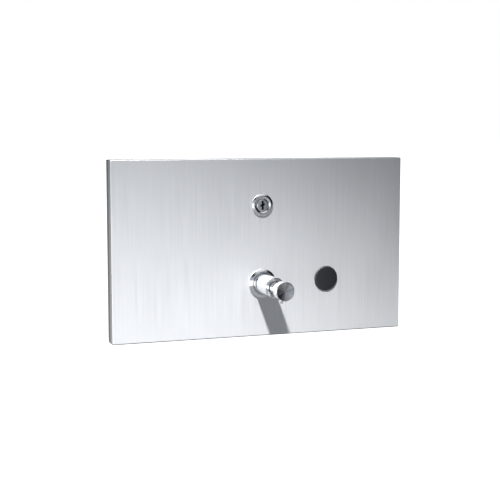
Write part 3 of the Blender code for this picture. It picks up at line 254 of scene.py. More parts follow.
def solved(operation, shape, *tools):
    """Joins tools to a shape, cuts them from it, or keeps what they share."""
    body = thing("solved", shape)
    others = [thing("solved_tool", tool) for tool in tools]
    for other in others:
        modifier = body.modifiers.new("solve", "BOOLEAN")
        modifier.operation = operation
        modifier.solver = "EXACT"
        modifier.object = other
    bpy.context.view_layer.update()
    mesh = body.evaluated_get(bpy.context.evaluated_depsgraph_get()).to_mesh()
    result = bmesh.new()
    result.from_mesh(mesh)
    for obj in [body, *others]:
        bpy.data.objects.remove(obj, do_unlink=True)
    bmesh.ops.remove_doubles(result, verts=result.verts, dist=MERGE)
    if not result.faces:
        raise RuntimeError("a solved shape came out empty")
    return result


def cut(shape, *tools):
    return solved("DIFFERENCE", shape, *tools)


def joined(shape, *tools):
    return solved("UNION", shape, *tools)


def together(*shapes):
    """Shapes that don't meet, in one bmesh."""
    result = bmesh.new()
    for shape in shapes:
        mesh = bpy.data.meshes.new("together")
        shape.to_mesh(mesh)
        shape.free()
        result.from_mesh(mesh)
        bpy.data.meshes.remove(mesh)
    return result


def refined(node):
    """A merged copy of a CAD node's mesh, with its flat faces whole."""
    shape = bmesh.new()
    shape.from_mesh(frame["nodes"][node].data)
    bmesh.ops.remove_doubles(shape, verts=shape.verts, dist=MERGE)
    bmesh.ops.dissolve_limit(
        shape, angle_limit=math.radians(1), use_dissolve_boundaries=False,
        verts=shape.verts, edges=shape.edges)
    return shape


def piece(name, shape, body, material, nodes=(), sharp=38):
    """Makes a finished piece that rides on a body and stands for its CAD nodes. Its one slot holds the
    material."""
    obj = thing(name, shape)
    obj.data.shade_smooth()
    obj.data.set_sharp_from_angle(angle=math.radians(sharp))
    obj.data.materials.append(bpy.data.materials[material])
    weighted = obj.modifiers.new("even_shading", "WEIGHTED_NORMAL")
    weighted.keep_sharp = True
    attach(obj, body)
    if nodes:
        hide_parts(*nodes)
    return obj


# --- shader nodes ---


class Value:
    """A shader socket that can stand in an expression."""

    def __init__(self, graph, socket):
        self.graph = graph
        self.socket = socket

    def __add__(self, other):
        return self.graph.math("ADD", self, other)

    __radd__ = __add__

    def __sub__(self, other):
        return self.graph.math("SUBTRACT", self, other)

    def __rsub__(self, other):
        return self.graph.math("SUBTRACT", other, self)

    def __mul__(self, other):
        return self.graph.math("MULTIPLY", self, other)

    __rmul__ = __mul__

    def __gt__(self, other):
        return self.graph.math("GREATER_THAN", self, other)

    def __abs__(self):
        return self.graph.math("ABSOLUTE", self)


class Graph:
    """The nodes of one material or world."""

    def __init__(self, tree):
        self.tree = tree
        tree.nodes.clear()

    def node(self, kind, settings=None, sockets=None, output=0):
        """A node with its settings made first, then its sockets filled or linked."""
        made = self.tree.nodes.new("ShaderNode" + kind)
        for name, value in (settings or {}).items():
            setattr(made, name, value)
        for key, value in (sockets or {}).items():
            if isinstance(value, Value):
                self.tree.links.new(value.socket, made.inputs[key])
            else:
                made.inputs[key].default_value = value
        return Value(self, made.outputs[output]) if made.outputs else None

    def math(self, operation, *values):
        return self.node("Math", {"operation": operation}, dict(enumerate(values)))

    def spot(self, output="Object"):
        """The place being shaded, or its normal or direction."""
        return self.node("TexCoord", output=output)

    def part(self, vector, axis):
        return self.node("SeparateXYZ", sockets={0: vector}, output=axis)

    def placed(self, vector, scale=(1, 1, 1), centre=(0, 0, 0)):
        """The vector measured from a centre, then scaled."""
        moved = self.node("VectorMath", {"operation": "SUBTRACT"}, {0: vector, 1: centre})
        return self.node("Mapping", sockets={"Vector": moved, "Scale": scale})

    def noise(self, vector, scale, detail=2.0, roughness=0.5):
        """Noise between 0 and 1, with scale as its features per metre along each axis."""
        return self.node("TexNoise", {"normalize": True}, {
            "Vector": self.placed(vector, scale), "Scale": 1.0, "Detail": detail, "Roughness": roughness})

    def ranged(self, value, low, high):
        """The value's stretch from low to high, smoothly spread from 0 to 1."""
        return self.node("MapRange", {"interpolation_type": "SMOOTHSTEP", "clamp": True}, {
            "Value": value, "From Min": low, "From Max": high})

    def mixed(self, factor, first, second):
        """Two colours mixed."""
        colours = [value if isinstance(value, Value) else (*value, 1.0) for value in (first, second)]
        return self.node("Mix", {"data_type": "RGBA"}, {0: factor, 6: colours[0], 7: colours[1]}, 2)

    def either(self, factor, first, second):
        """Two vectors mixed."""
        return self.node("Mix", {"data_type": "VECTOR"}, {0: factor, 4: first, 5: second}, 1)

    def distance(self, vector, point):
        return self.node("VectorMath", {"operation": "DISTANCE"}, {0: vector, 1: point}, 1)

    def length(self, vector):
        return self.node("VectorMath", {"operation": "LENGTH"}, {0: vector}, 1)

    def relief(self, height, depth):
        """A normal from a height of 0 to 1, over a depth in metres."""
        return self.node("Bump", sockets={"Height": height, "Strength": 1.0, "Distance": depth})


def finish(name):
    """A new material and its graph."""
    material = bpy.data.materials.new(name)
    material.use_nodes = True
    return Graph(material.node_tree)


def surface(graph, **sockets):
    """Ends a material's graph with its shader. A socket's name has _ for each space."""
    named = {key.replace("_", " "): value for key, value in sockets.items()}
    for key, value in named.items():
        if key == "Base Color" and not isinstance(value, Value):
            named[key] = (*value, 1.0)
    shader = graph.node("BsdfPrincipled", sockets=named)
    graph.node("OutputMaterial", sockets={"Surface": shader})


def scaled(colour, factor):
    """A colour made lighter or darker by a factor."""
    return tuple(min(1.0, part * factor) for part in colour)


def tones(colour, spread):
    """A darker and a lighter tone of a colour."""
    return [scaled(colour, 1 + sign * spread) for sign in (-1, 1)]


def satin_steel(looks):
    """Brushed sheet. The grain runs up the face and on round the bends. The lower return and the
    side returns have painted shade, darkest toward the wall."""
    graph = finish("satin_steel")
    spot = graph.spot()
    facing = graph.spot("Normal")
    on_edge = abs(graph.part(facing, "Z")) > 0.7
    upright = graph.placed(spot, (1.0, 1.0, 0.012))
    inward = graph.placed(spot, (1.0, 0.012, 1.0))
    grain = graph.either(on_edge, upright, inward)
    fine = graph.noise(grain, (3400, 3400, 3400), 2.0, 0.6)
    streak = graph.ranged(graph.noise(grain, (1000, 1000, 1000), 3.0, 0.65), 0.25, 0.75)
    band = graph.ranged(graph.noise(grain, (240, 240, 240), 2.0, 0.5), 0.25, 0.75)
    cloud = graph.noise(spot, (14, 14, 9), 2.0, 0.5)
    dark, light = tones(looks.satin, 0.06)
    colour = graph.mixed(0.75 * streak + 0.08 * band + 0.17 * cloud, dark, light)
    # Painted shade: faces that look down, such as the lower return's bend, are darkened.
    under = graph.ranged(graph.part(facing, "Z"), -0.10, -0.45)
    colour = graph.mixed(under, colour, scaled(looks.satin, 0.12))
    # Painted shade on the side returns, darkest toward the wall.
    side = graph.ranged(abs(graph.part(facing, "X")), 0.4, 0.8)
    toward_wall = graph.ranged(graph.part(spot, "Y"), FACE_Y + 0.004, FACE_Y + 0.009)
    painted_side_shade = side * (0.65 + 0.3 * toward_wall)
    colour = graph.mixed(painted_side_shade, colour, scaled(looks.satin, 0.1))
    rough = looks.satin_roughness - 0.04 + 0.04 * streak + 0.01 * band + 0.05 * cloud
    surface(graph, Base_Color=colour, Metallic=0.85, Roughness=rough,
            Normal=graph.relief(0.6 * fine + 0.4 * streak, 0.000009))


def heat_tint(graph, spot, colour, points, reach):
    """Colour with the straw and blue rings that a weld leaves round each point."""
    for point in points:
        away = graph.distance(spot, point)
        straw = graph.ranged(away, reach, reach * 0.45) * 0.55
        colour = graph.mixed(straw, colour, (0.52, 0.40, 0.22))
        blue = graph.ranged(away, reach * 0.6, reach * 0.3) * 0.5
        colour = graph.mixed(blue, colour, (0.22, 0.25, 0.36))
    return colour


def mill_steel(looks):
    """Plain rolled sheet: lines and soft bands along X, cloudy patches and a few handling marks."""
    graph = finish("mill_steel")
    spot = graph.spot()
    lines = graph.noise(spot, (26, 2200, 2200), 2.0, 0.6)
    fleck = graph.noise(spot, (900, 900, 900), 2.0, 0.6)
    band = graph.ranged(graph.noise(spot, (4, 190, 190), 3.0, 0.6), 0.3, 0.7)
    cloud = graph.ranged(graph.noise(spot, (22, 22, 22), 3.0, 0.55), 0.3, 0.7)
    rub = graph.ranged(graph.noise(spot, (60, 340, 60), 3.0, 0.7), 0.58, 0.72)
    dark, light = tones(looks.mill, 0.15)
    colour = graph.mixed(0.25 * lines + 0.1 * fleck + 0.4 * band + 0.25 * cloud, dark, light)
    studs = [Vector((x, FACE_Y, z)) for x, z in stud_places()]
    colour = heat_tint(graph, spot, colour, studs, 0.011)
    rough = 0.28 + 0.08 * lines + 0.06 * band + 0.08 * cloud - 0.08 * rub
    surface(graph, Base_Color=colour, Metallic=1.0, Roughness=rough,
            Normal=graph.relief(0.5 * lines + 0.5 * fleck, 0.000010))


def smudges(graph, spot):
    """How much a polished face is dulled: wiped patches and very fine hairlines."""
    patch = graph.ranged(graph.noise(spot, (70, 70, 70), 3.0, 0.6), 0.45, 0.75)
    hair = graph.ranged(graph.noise(spot, (2600, 300, 2600), 2.0, 0.6), 0.55, 0.8)
    return 0.7 * patch + 0.3 * hair


def chrome(looks):
    """Polished plating with faint smudges, and painted shade inside the keyway."""
    graph = finish("chrome")
    spot = graph.spot()
    dull = smudges(graph, spot)
    dark, light = tones(looks.chrome, 0.03)
    colour = graph.mixed(dull, light, dark)
    depth = graph.part(spot, "Y")
    radius = graph.length(graph.placed(spot, (1, 0, 1), LOCK_AT))
    # Painted shade: near-black colour inside the keyway's slots.
    keyway_painted_shade = (graph.ranged(radius, 0.0056, 0.0050) * graph.ranged(depth, 0.0, -0.002)
                 * graph.ranged(depth, PLUG_FACE_Y + 0.0002, PLUG_FACE_Y + 0.0005))
    colour = graph.mixed(keyway_painted_shade, colour, (0.012, 0.012, 0.012))
    surface(graph, Base_Color=colour, Metallic=1.0,
            Roughness=0.035 + 0.075 * dull,
            Normal=graph.relief(graph.noise(spot, (420, 420, 420), 2.0), 0.0000012))


def turned_chrome(looks):
    """Plating over a face that was turned on a lathe: fine rings round the valve's axis as bumps. The rays
    that such rings throw, a light wedge and a dark one, are painted into the colour as reflection,
    highlight and shade."""
    graph = finish("turned_chrome")
    spot = graph.spot()
    beside = graph.placed(spot, (1, 0, 1), VALVE_AT)
    radius = graph.length(beside)
    ring = graph.math("SINE", radius * (math.tau / 0.00024)) * 0.5 + 0.5
    uneven = graph.noise(graph.node("CombineXYZ", sockets={0: radius}), (5200, 1, 1), 2.0)
    facing = graph.ranged(graph.part(graph.spot("Normal"), "Y") * -1, 0.85, 0.97)
    toward = graph.node("VectorMath", {"operation": "NORMALIZE"}, {0: beside})
    # Painted reflection: radial rays round the axis, with a painted highlight wedge and a painted dark
    # wedge.
    painted_rays = graph.ranged(graph.noise(toward, (2.6, 1, 2.6), 3.0, 0.6), 0.36, 0.62)
    angle = graph.math("ARCTAN2", graph.part(beside, "Z"), graph.part(beside, "X"))
    painted_highlight_wedge = graph.ranged(abs(angle + 1.0), 0.50, 0.40)
    painted_dark_wedge = graph.ranged(abs(angle + 2.3), 0.50, 0.35)
    painted_rays = painted_rays * 0.6 * (1 - painted_highlight_wedge) + painted_dark_wedge * 0.55
    dull = smudges(graph, spot)
    # The painted rays and wedges, with the smudges, darken the chrome's colour on the front face.
    colour = graph.mixed((0.15 * dull + 0.85 * painted_rays) * facing, looks.chrome, scaled(looks.chrome, 0.2))
    height = (0.6 * ring + 0.4 * uneven) * facing
    surface(graph, Base_Color=colour, Metallic=1.0, Roughness=0.05 + 0.05 * dull + 0.14 * facing,
            Normal=graph.relief(height, 0.000008))


def brass(looks):
    """Machined brass, a little tarnished."""
    graph = finish("brass")
    spot = graph.spot()
    marks = graph.noise(spot, (180, 3200, 180), 2.0, 0.6)
    age = graph.noise(spot, (120, 120, 120), 4.0, 0.6)
    dark, light = tones(looks.brass, 0.16)
    surface(graph, Base_Color=graph.mixed(graph.ranged(age, 0.3, 0.7), light, dark), Metallic=1.0,
            Roughness=0.18 + 0.12 * marks + 0.16 * age,
            Normal=graph.relief(marks, 0.000008))


def spring_steel(looks):
    """Zinc plate with its faint mottling."""
    graph = finish("spring_steel")
    spot = graph.spot()
    mottle = graph.noise(spot, (420, 420, 420), 3.0, 0.6)
    fine = graph.noise(spot, (2600, 2600, 2600), 2.0, 0.5)
    dark, light = tones(looks.zinc, 0.12)
    warm = graph.mixed(graph.ranged(mottle, 0.52, 0.75) * 0.35, graph.mixed(mottle, dark, light),
                       (0.60, 0.55, 0.42))
    surface(graph, Base_Color=warm, Metallic=1.0, Roughness=0.20 + 0.16 * mottle + 0.06 * fine,
            Normal=graph.relief(fine, 0.000006))


def rubber(looks):
    """Moulded rubber with a slight bloom."""
    graph = finish("rubber")
    spot = graph.spot()
    bloom = graph.noise(spot, (260, 260, 260), 3.0, 0.6)
    grain = graph.noise(spot, (3000, 3000, 3000), 2.0, 0.6)
    pale = tuple(part + 0.022 for part in looks.rubber)
    surface(graph, Base_Color=graph.mixed(graph.ranged(bloom, 0.4, 0.75), looks.rubber, pale),
            Roughness=0.52 + 0.18 * bloom + 0.08 * grain,
            Normal=graph.relief(grain, 0.000018))


def nylon(looks):
    """Moulded nylon: a soft even surface with faint flow marks."""
    graph = finish("nylon")
    spot = graph.spot()
    flow = graph.noise(spot, (140, 60, 140), 3.0, 0.5)
    grain = graph.noise(spot, (2400, 2400, 2400), 2.0, 0.5)
    dark, light = tones(looks.nylon, 0.04)
    surface(graph, Base_Color=graph.mixed(flow, dark, light), Roughness=0.36 + 0.12 * flow + 0.05 * grain,
            Subsurface_Weight=0.08, Subsurface_Scale=0.002, Normal=graph.relief(grain, 0.000010))


def clear_tube(looks):
    """Soft clear tube, slightly hazy."""
    graph = finish("clear_tube")
    spot = graph.spot()
    haze = graph.noise(spot, (220, 220, 90), 3.0, 0.5)
    dark, light = tones(looks.tube, 0.06)
    surface(graph, Base_Color=graph.mixed(haze, dark, light), Roughness=0.10 + 0.14 * haze, IOR=1.45,
            Transmission_Weight=0.75, Normal=graph.relief(haze, 0.00002))


def smoked_acrylic(looks):
    """Glossy smoked acrylic with a few hairline marks."""
    graph = finish("smoked_acrylic")
    spot = graph.spot()
    hair = graph.ranged(graph.noise(spot, (380, 380, 2600), 3.0, 0.7), 0.62, 0.74)
    dust = graph.ranged(graph.noise(spot, (1500, 1500, 1500), 2.0, 0.5), 0.66, 0.8)
    rim = graph.ranged(graph.part(graph.spot("Normal"), "Y") * -1, 0.97, 0.85)
    pale = tuple(part + 0.014 for part in looks.lens)
    surface(graph, Base_Color=graph.mixed(dust, looks.lens, pale),
            Roughness=0.10 + 0.05 * hair + 0.10 * dust + 0.50 * rim, IOR=1.49)


def pale_floor(looks):
    """Matt studio paper that glows faintly in front of the object and white behind it."""
    graph = finish("studio_paper")
    spot = graph.spot()
    tooth = graph.noise(spot, (90, 90, 90), 2.0, 0.5)
    behind = graph.ranged(graph.part(spot, "Y"), 0.1, 0.35)
    glow = graph.mixed(behind, scaled(WHITE, FRONT_GLOW), WHITE)
    surface(graph, Base_Color=graph.mixed(tooth, (0.90, 0.90, 0.905), (0.93, 0.93, 0.93)),
            Roughness=0.85 + 0.1 * tooth, Emission_Color=glow, Emission_Strength=1.0)


ALL_FINISHES = (satin_steel, mill_steel, chrome, turned_chrome, brass, spring_steel, rubber,
                nylon, clear_tube, smoked_acrylic, pale_floor)


# --- pieces ---


def stud_places():
    """The weld studs' centres on the door's back, as (x, z)."""
    return [(middle(f"tank_nut_{number}").x, middle(f"tank_nut_{number}").z) for number in TANK_STUDS]


def threaded(start, end, radius, pitch, depth):
    """The (station, radius) pairs of a thread's crests and roots."""
    turns = int(abs(end - start) / pitch)
    step = math.copysign(pitch, end - start)
    pairs = []
    for turn in range(turns):
        pairs += [(start + turn * step, radius), (start + (turn + 0.5) * step, radius - depth)]
    return pairs + [(end, radius - depth / 2)]


def nut(node, bore, edge):
    """A hexagon nut with its faces' corners turned off and its bore countersunk."""
    low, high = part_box(node)
    at, half = (low + high) / 2, (high.y - low.y) / 2
    flats, steps = high.x - low.x, 72
    corner, face = 1.02 * flats / math.sqrt(3), flats / 2 * 0.94
    slope = (corner - face) * 0.55
    lens = turned(at, Y, [(-half, 0), (-half, face), (-half + slope, corner), (half - slope, corner),
                          (half, face), (half, 0)], steps)
    shape = solved("INTERSECT", hexagon(at, Y, -2 * half, 2 * half, flats), lens)
    sink = (high.y - low.y) * 0.12
    wide = bore + 2 * sink
    shape = cut(shape, turned(at, Y, [(-half - sink, 0), (-half - sink, wide), (-half + sink, bore),
                                      (half - sink, bore), (half + sink, wide), (half + sink, 0)], steps))
    return eased(shape, edge, 2, 40)


class DISPENSER_OT_finishes(bpy.types.Operator):
    """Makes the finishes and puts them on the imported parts"""

    bl_idname = "dispenser.finishes"
    bl_label = "Finishes"

    def execute(self, context):
        for material in list(bpy.data.materials):
            material.name = "plain_" + material.name
        for make in ALL_FINISHES:
            make(context.scene.dispenser_finishes)
        for obj in frame["nodes"].values():
            slot = obj.material_slots[0]
            slot.material = bpy.data.materials[slot.material.name.removeprefix("plain_")]
        return {"FINISHED"}


class DISPENSER_OT_door_face(bpy.types.Operator):
    """Makes the door's pan with its bent edges and its three holes"""

    bl_idname = "dispenser.door_face"
    bl_label = "Door face"

    def execute(self, context):
        sizes = context.scene.dispenser_sizes
        low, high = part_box("door_plate")
        pan = block(low, high)
        back = [face for face in pan.faces if face.normal.y > 0.5]
        bmesh.ops.delete(pan, geom=back, context="FACES")
        rim = high.y - 0.0001
        eased(pan, sizes.bend, 6, near=lambda edge: min(vert.co.y for vert in edge.verts) < rim)
        self.slope_off(pan, low, high)
        bmesh.ops.recalc_face_normals(pan, faces=pan.faces)
        bmesh.ops.solidify(pan, geom=pan.faces[:], thickness=sizes.door_sheet)
        bmesh.ops.recalc_face_normals(pan, faces=pan.faces)
        holes = ((LOCK_AT, LOCK_HOLE), (VALVE_AT, VALVE_HOLE), (WINDOW_AT, WINDOW_HOLE))
        pan = cut(pan, *[rod(at, Y, -2 * CUT_PAST, 4 * CUT_PAST, radius, sizes.round_steps)
                         for at, radius in holes])
        eased(pan, sizes.edge_break, 2, 55)
        piece("door_face", pan, "door", "satin_steel", ["door_plate"])
        return {"FINISHED"}

    def slope_off(self, pan, low, high):
        """Cuts the side returns' lower corners and the lower return back on a slope, so that the open
        door stays clear of the wall."""
        gap = 0.0003
        setback, height = -HINGE_AT.y, HINGE_AT.z - low.z
        sink = ((setback - gap) - height * math.sin(OPEN_ANGLE)) / math.cos(OPEN_ANGLE)
        slope = Vector((0, high.y - (HINGE_AT.y + sink), height))
        bmesh.ops.bisect_plane(
            pan, geom=pan.verts[:] + pan.edges[:] + pan.faces[:], dist=0.000001,
            plane_co=(0, high.y, HINGE_AT.z), plane_no=(0, slope.z, -slope.y), clear_outer=True)


class DISPENSER_OT_weld_studs(bpy.types.Operator):
    """Makes the four threaded studs that hold the tank on the door"""

    bl_idname = "dispenser.weld_studs"
    bl_label = "Weld studs"

    def execute(self, context):
        sizes = context.scene.dispenser_sizes
        start, end = sizes.door_sheet * 0.9, 0.008
        radius, neck, tip = 0.002, 0.00195, 0.0014
        thread = threaded(start + 0.0012, end - 0.0004, radius, sizes.thread_pitch, 0.00032)
        outline = [(start, 0), (start, neck), (start + 0.001, neck), *thread, (end, tip), (end, 0)]
        studs = [turned(Vector((x, FACE_Y, z)), Y, outline, 32) for x, z in stud_places()]
        piece("weld_studs", together(*studs), "door", "spring_steel")
        return {"FINISHED"}


class DISPENSER_OT_escutcheon(bpy.types.Operator):
    """Makes the polished ring round the valve's foot"""

    bl_idname = "dispenser.escutcheon"
    bl_label = "Escutcheon"

    def execute(self, context):
        sizes = context.scene.dispenser_sizes
        low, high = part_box("valve_escutcheon")
        radius = (high.x - low.x) / 2
        near, far = FACE_Y - high.y, FACE_Y - low.y
        lip, dip = 0.0106, 0.0005
        outline = [(near, VALVE_HOLE), (near, radius - 0.0003), (near + 0.0004, radius),
                   (far - 0.0016, radius), (far, radius - 0.0024),
                   (far, lip), (far - dip, lip - dip), (far - dip, VALVE_HOLE)]
        ring = turned(VALVE_AT, -Y, outline, sizes.round_steps)
        eased(ring, 0.00035, 3, 20)
        piece("escutcheon", ring, "door", "chrome", ["valve_escutcheon"])
        return {"FINISHED"}


class DISPENSER_OT_barrel(bpy.types.Operator):
    """Makes the valve's barrel with its threaded shank behind the door"""

    bl_idname = "dispenser.barrel"
    bl_label = "Barrel"

    def execute(self, context):
        sizes = context.scene.dispenser_sizes
        low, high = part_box("valve_barrel")
        radius = (high.x - low.x) / 2
        front, back = FACE_Y - low.y, FACE_Y - high.y
        shoulder, shank, guide, bore = 0.0035, radius - 0.001, 0.0063, 0.0076
        step = front - 0.003
        thread = threaded(-0.0034, back + 0.0006, shank, SHANK_PITCH, SHANK_THREAD)
        outline = [(front, guide), (front, radius), (shoulder, radius), (shoulder, shank), *thread,
                   (back, shank - SHANK_THREAD), (back, bore), (step, bore), (step, guide)]
        shape = turned(VALVE_AT, -Y, outline, sizes.round_steps)
        eased(shape, 0.0006, 4, 40, near=in_front_of(FACE_Y - front + 0.0005))
        piece("barrel", shape, "door", "chrome", ["valve_barrel"])
        return {"FINISHED"}


class DISPENSER_OT_stem(bpy.types.Operator):
    """Makes the hollow stem that the button pushes, with the nozzle's socket"""

    bl_idname = "dispenser.stem"
    bl_label = "Stem"

    def execute(self, context):
        low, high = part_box("valve_stem")
        radius, spigot, bore = (high.x - low.x) / 2, 0.004, 0.002
        front, back = FACE_Y - low.y, FACE_Y - high.y
        neck, tail = front - 0.006, 0.0258
        nozzle = FACE_Y - middle("nozzle").y
        end = nozzle - 0.001
        outline = [(front, 0), (front, spigot), (neck, spigot), (neck, radius), (tail, radius),
                   (tail, spigot), (back, spigot), (back, bore), (end, bore), (end, 0)]
        shape = turned(VALVE_AT, -Y, outline, 72)
        eased(shape, 0.0003, 3, 40)
        socket = Vector((VALVE_AT.x, FACE_Y - nozzle, VALVE_AT.z))
        shape = cut(shape, rod(socket, -Z, 0.0035, 0.008, 0.0022, 40))
        piece("stem", shape, "plunger", "chrome", ["valve_stem"])
        return {"FINISHED"}


class DISPENSER_OT_push_button(bpy.types.Operator):
    """Makes the button, with its lathe-turned face and rounded rim"""

    bl_idname = "dispenser.push_button"
    bl_label = "Push button"

    def execute(self, context):
        sizes = context.scene.dispenser_sizes
        low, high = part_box("push_button")
        radius = (high.x - low.x) / 2
        front, back = FACE_Y - low.y, FACE_Y - high.y
        dish, socket, depth = 0.0009, 0.0043, back + 0.0063
        outline = [(front - dish, 0), (front - 0.00008, radius - 0.0009), (front, radius - 0.00065),
                   (front - 0.0004, radius), (back + 0.0005, radius), (back, radius - 0.0005),
                   (back, socket), (depth, socket), (depth, 0)]
        shape = turned(VALVE_AT, -Y, outline, sizes.round_steps)
        eased(shape, 0.00018, 2, 30)
        piece("button", shape, "plunger", "turned_chrome", ["push_button"])
        return {"FINISHED"}


class DISPENSER_OT_nozzle(bpy.types.Operator):
    """Makes the short spout under the stem"""

    bl_idname = "dispenser.nozzle"
    bl_label = "Nozzle"

    def execute(self, context):
        low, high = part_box("nozzle")
        at = Vector((middle("nozzle").x, middle("nozzle").y, 0))
        radius, tip, bore, taper = (high.x - low.x) / 2, 0.00165, 0.001, 0.0035
        outline = [(high.z, bore), (high.z, radius), (low.z + taper, radius), (low.z, tip), (low.z, bore)]
        shape = turned(at, Z, outline, 48)
        eased(shape, 0.0002, 3, 30)
        piece("spout", shape, "plunger", "chrome", ["nozzle"])
        return {"FINISHED"}


class DISPENSER_OT_return_spring(bpy.types.Operator):
    """Makes the coil spring"""

    bl_idname = "dispenser.return_spring"
    bl_label = "Return spring"

    def execute(self, context):
        low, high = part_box("return_spring")
        wire, turns, steps = 0.0006, 6.5, 26
        coil = (high.x - low.x) / 2 - wire
        count = round(turns * steps)
        rise = (high.y - low.y - 2 * wire) / count
        shape = bmesh.new()
        start = Vector((VALVE_AT.x + coil, high.y - wire, VALVE_AT.z))
        bmesh.ops.create_circle(
            shape, cap_ends=False, radius=wire, segments=10, matrix=Matrix.Translation(start))
        bmesh.ops.spin(
            shape, geom=shape.verts[:] + shape.edges[:], cent=(VALVE_AT.x, 0, VALVE_AT.z), axis=Y,
            dvec=(0, -rise, 0), angle=-math.tau * turns, steps=count, use_merge=False,
            use_normal_flip=False, use_duplicate=False)
        bmesh.ops.holes_fill(shape, edges=[edge for edge in shape.edges if edge.is_boundary])
        bmesh.ops.recalc_face_normals(shape, faces=shape.faces)
        spring = piece("spring", shape, "door", "spring_steel", ["return_spring"])
        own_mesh(spring)
        return {"FINISHED"}


class DISPENSER_OT_lock(bpy.types.Operator):
    """Makes the lock: the polished head and threaded body, and the plug with its keyway"""

    bl_idname = "dispenser.lock"
    bl_label = "Lock"

    def execute(self, context):
        sizes = context.scene.dispenser_sizes
        low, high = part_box("lock_housing")
        head, front, back = (high.x - low.x) / 2, FACE_Y - low.y, FACE_Y - high.y
        bore, body, seat = 0.0063, 0.0089, 0.0003
        thread = threaded(-0.0016, back + 0.0008, body, SHANK_PITCH, SHANK_THREAD)
        outline = [(front - 0.0010, bore), (front, bore + 0.0015), (front, head - 0.0018),
                   (front - 0.0011, head), (seat, head), (seat, body), *thread,
                   (back, body - SHANK_THREAD), (back, bore)]
        housing = turned(LOCK_AT, -Y, outline, sizes.round_steps)
        eased(housing, 0.00035, 4, 20, near=in_front_of(FACE_Y - 0.0005))
        piece("lock_head", housing, "door", "chrome", ["lock_housing"])
        self.make_plug()
        return {"FINISHED"}

    def make_plug(self):
        """The plug, with a square end that drives the cam. Distances run from the door's face."""
        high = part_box("lock_plug")[1]
        radius, end, square = 0.006, 0.0243, 0.003
        front, back = PLUG_FACE_Y - FACE_Y, high.y - FACE_Y
        face, step = -front, 0.0003
        plug = turned(LOCK_AT, -Y, [(face, 0), (face, radius - 0.0007), (face - step, radius - 0.0004),
                                    (face - step, radius), (-end, radius), (-end, 0)], 72)
        eased(plug, 0.00012, 2, 20)
        drive = block(LOCK_AT + Vector((-square, end - CUT_PAST, -square)),
                      LOCK_AT + Vector((square, back, square)))
        plug = joined(plug, drive)
        slots = [((-0.0010, 0.0010), (-0.0045, 0.0045)), ((-0.0024, 0.0), (-0.0011, 0.0006)),
                 ((0.0, 0.0024), (0.0002, 0.0019))]
        keyway = joined(*[block(LOCK_AT + Vector((left, front - CUT_PAST, under)),
                                LOCK_AT + Vector((right, 0.012, over)))
                          for (left, right), (under, over) in slots])
        screw_hole = rod(LOCK_AT, Y, back - 0.007, back + CUT_PAST, 0.0022, 32)
        plug = cut(plug, keyway, screw_hole)
        eased(plug, 0.0001, 2, 60)
        piece("plug", plug, "lock", "chrome", ["lock_plug"])


class DISPENSER_OT_window(bpy.types.Operator):
    """Makes the smoked level window with its gasket and its ribbed ring nut"""

    bl_idname = "dispenser.window"
    bl_label = "Level window"

    def execute(self, context):
        sizes = context.scene.dispenser_sizes
        low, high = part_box("window_lens")
        radius, shank, flange = (high.x - low.x) / 2, 0.010, 0.0012
        front, back = FACE_Y - low.y, FACE_Y - high.y
        outline = [(front, 0), (front - 0.00004, radius * 0.5), (front - 0.00012, radius * 0.84),
                   (front - 0.0003, radius * 0.92), (front - 0.0011, radius), (flange, radius),
                   (flange, shank), *threaded(-0.0016, back + 0.0006, shank, SHANK_PITCH, 0.00035),
                   (back, shank - 0.0004), (back, 0)]
        lens = turned(WINDOW_AT, -Y, outline, sizes.round_steps)
        eased(lens, 0.0003, 4, 24, near=in_front_of(FACE_Y - 0.0005))
        piece("lens", lens, "door", "smoked_acrylic", ["window_lens"], sharp=50)
        self.make_gasket(sizes.round_steps)
        self.make_nut()
        return {"FINISHED"}

    def make_gasket(self, steps):
        low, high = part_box("window_gasket")
        front, back, radius = FACE_Y - low.y, FACE_Y - high.y, 0.0121
        outline = [(front, WINDOW_HOLE), (front, radius), (back, radius), (back, WINDOW_HOLE)]
        gasket = turned(WINDOW_AT, -Y, outline, steps)
        eased(gasket, 0.0002, 3, 40)
        piece("lens_gasket", gasket, "door", "rubber", ["window_gasket"])

    def make_nut(self):
        """The ring nut, with grooves round it for the fingers."""
        low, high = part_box("window_nut")
        at, half, radius = middle("window_nut"), (high.y - low.y) / 2, (high.x - low.x) / 2
        bore = 0.0104
        ring = turned(at, Y, [(-half, bore), (-half, radius), (half, radius), (half, bore)], 72)
        eased(ring, 0.0004, 3, 40)
        grooves, depth = 24, 0.0007
        tools = []
        for groove in range(grooves):
            turn = math.tau * groove / grooves
            place = at + Vector((math.cos(turn), 0, math.sin(turn))) * (radius + depth / 3)
            tools.append(rod(place, Y, -2 * half, 2 * half, depth, 10))
        ring = cut(ring, together(*tools))
        piece("ring_nut", ring, "door", "nylon", ["window_nut"])


class DISPENSER_OT_nuts(bpy.types.Operator):
    """Makes the hexagon nuts behind the door"""

    bl_idname = "dispenser.nuts"
    bl_label = "Nuts"

    def execute(self, context):
        edge = context.scene.dispenser_sizes.edge_break
        nuts = [("shank_nut", "valve_nut", VALVE_HOLE, "brass"),
                ("housing_nut", "lock_nut", LOCK_HOLE, "brass")]
        nuts += [(f"stud_nut_{number}", f"tank_nut_{number}", STUD_HOLE, "spring_steel")
                 for number in TANK_STUDS]
        for name, node, bore, material in nuts:
            piece(name, nut(node, bore, edge), "door", material, [node])
        return {"FINISHED"}


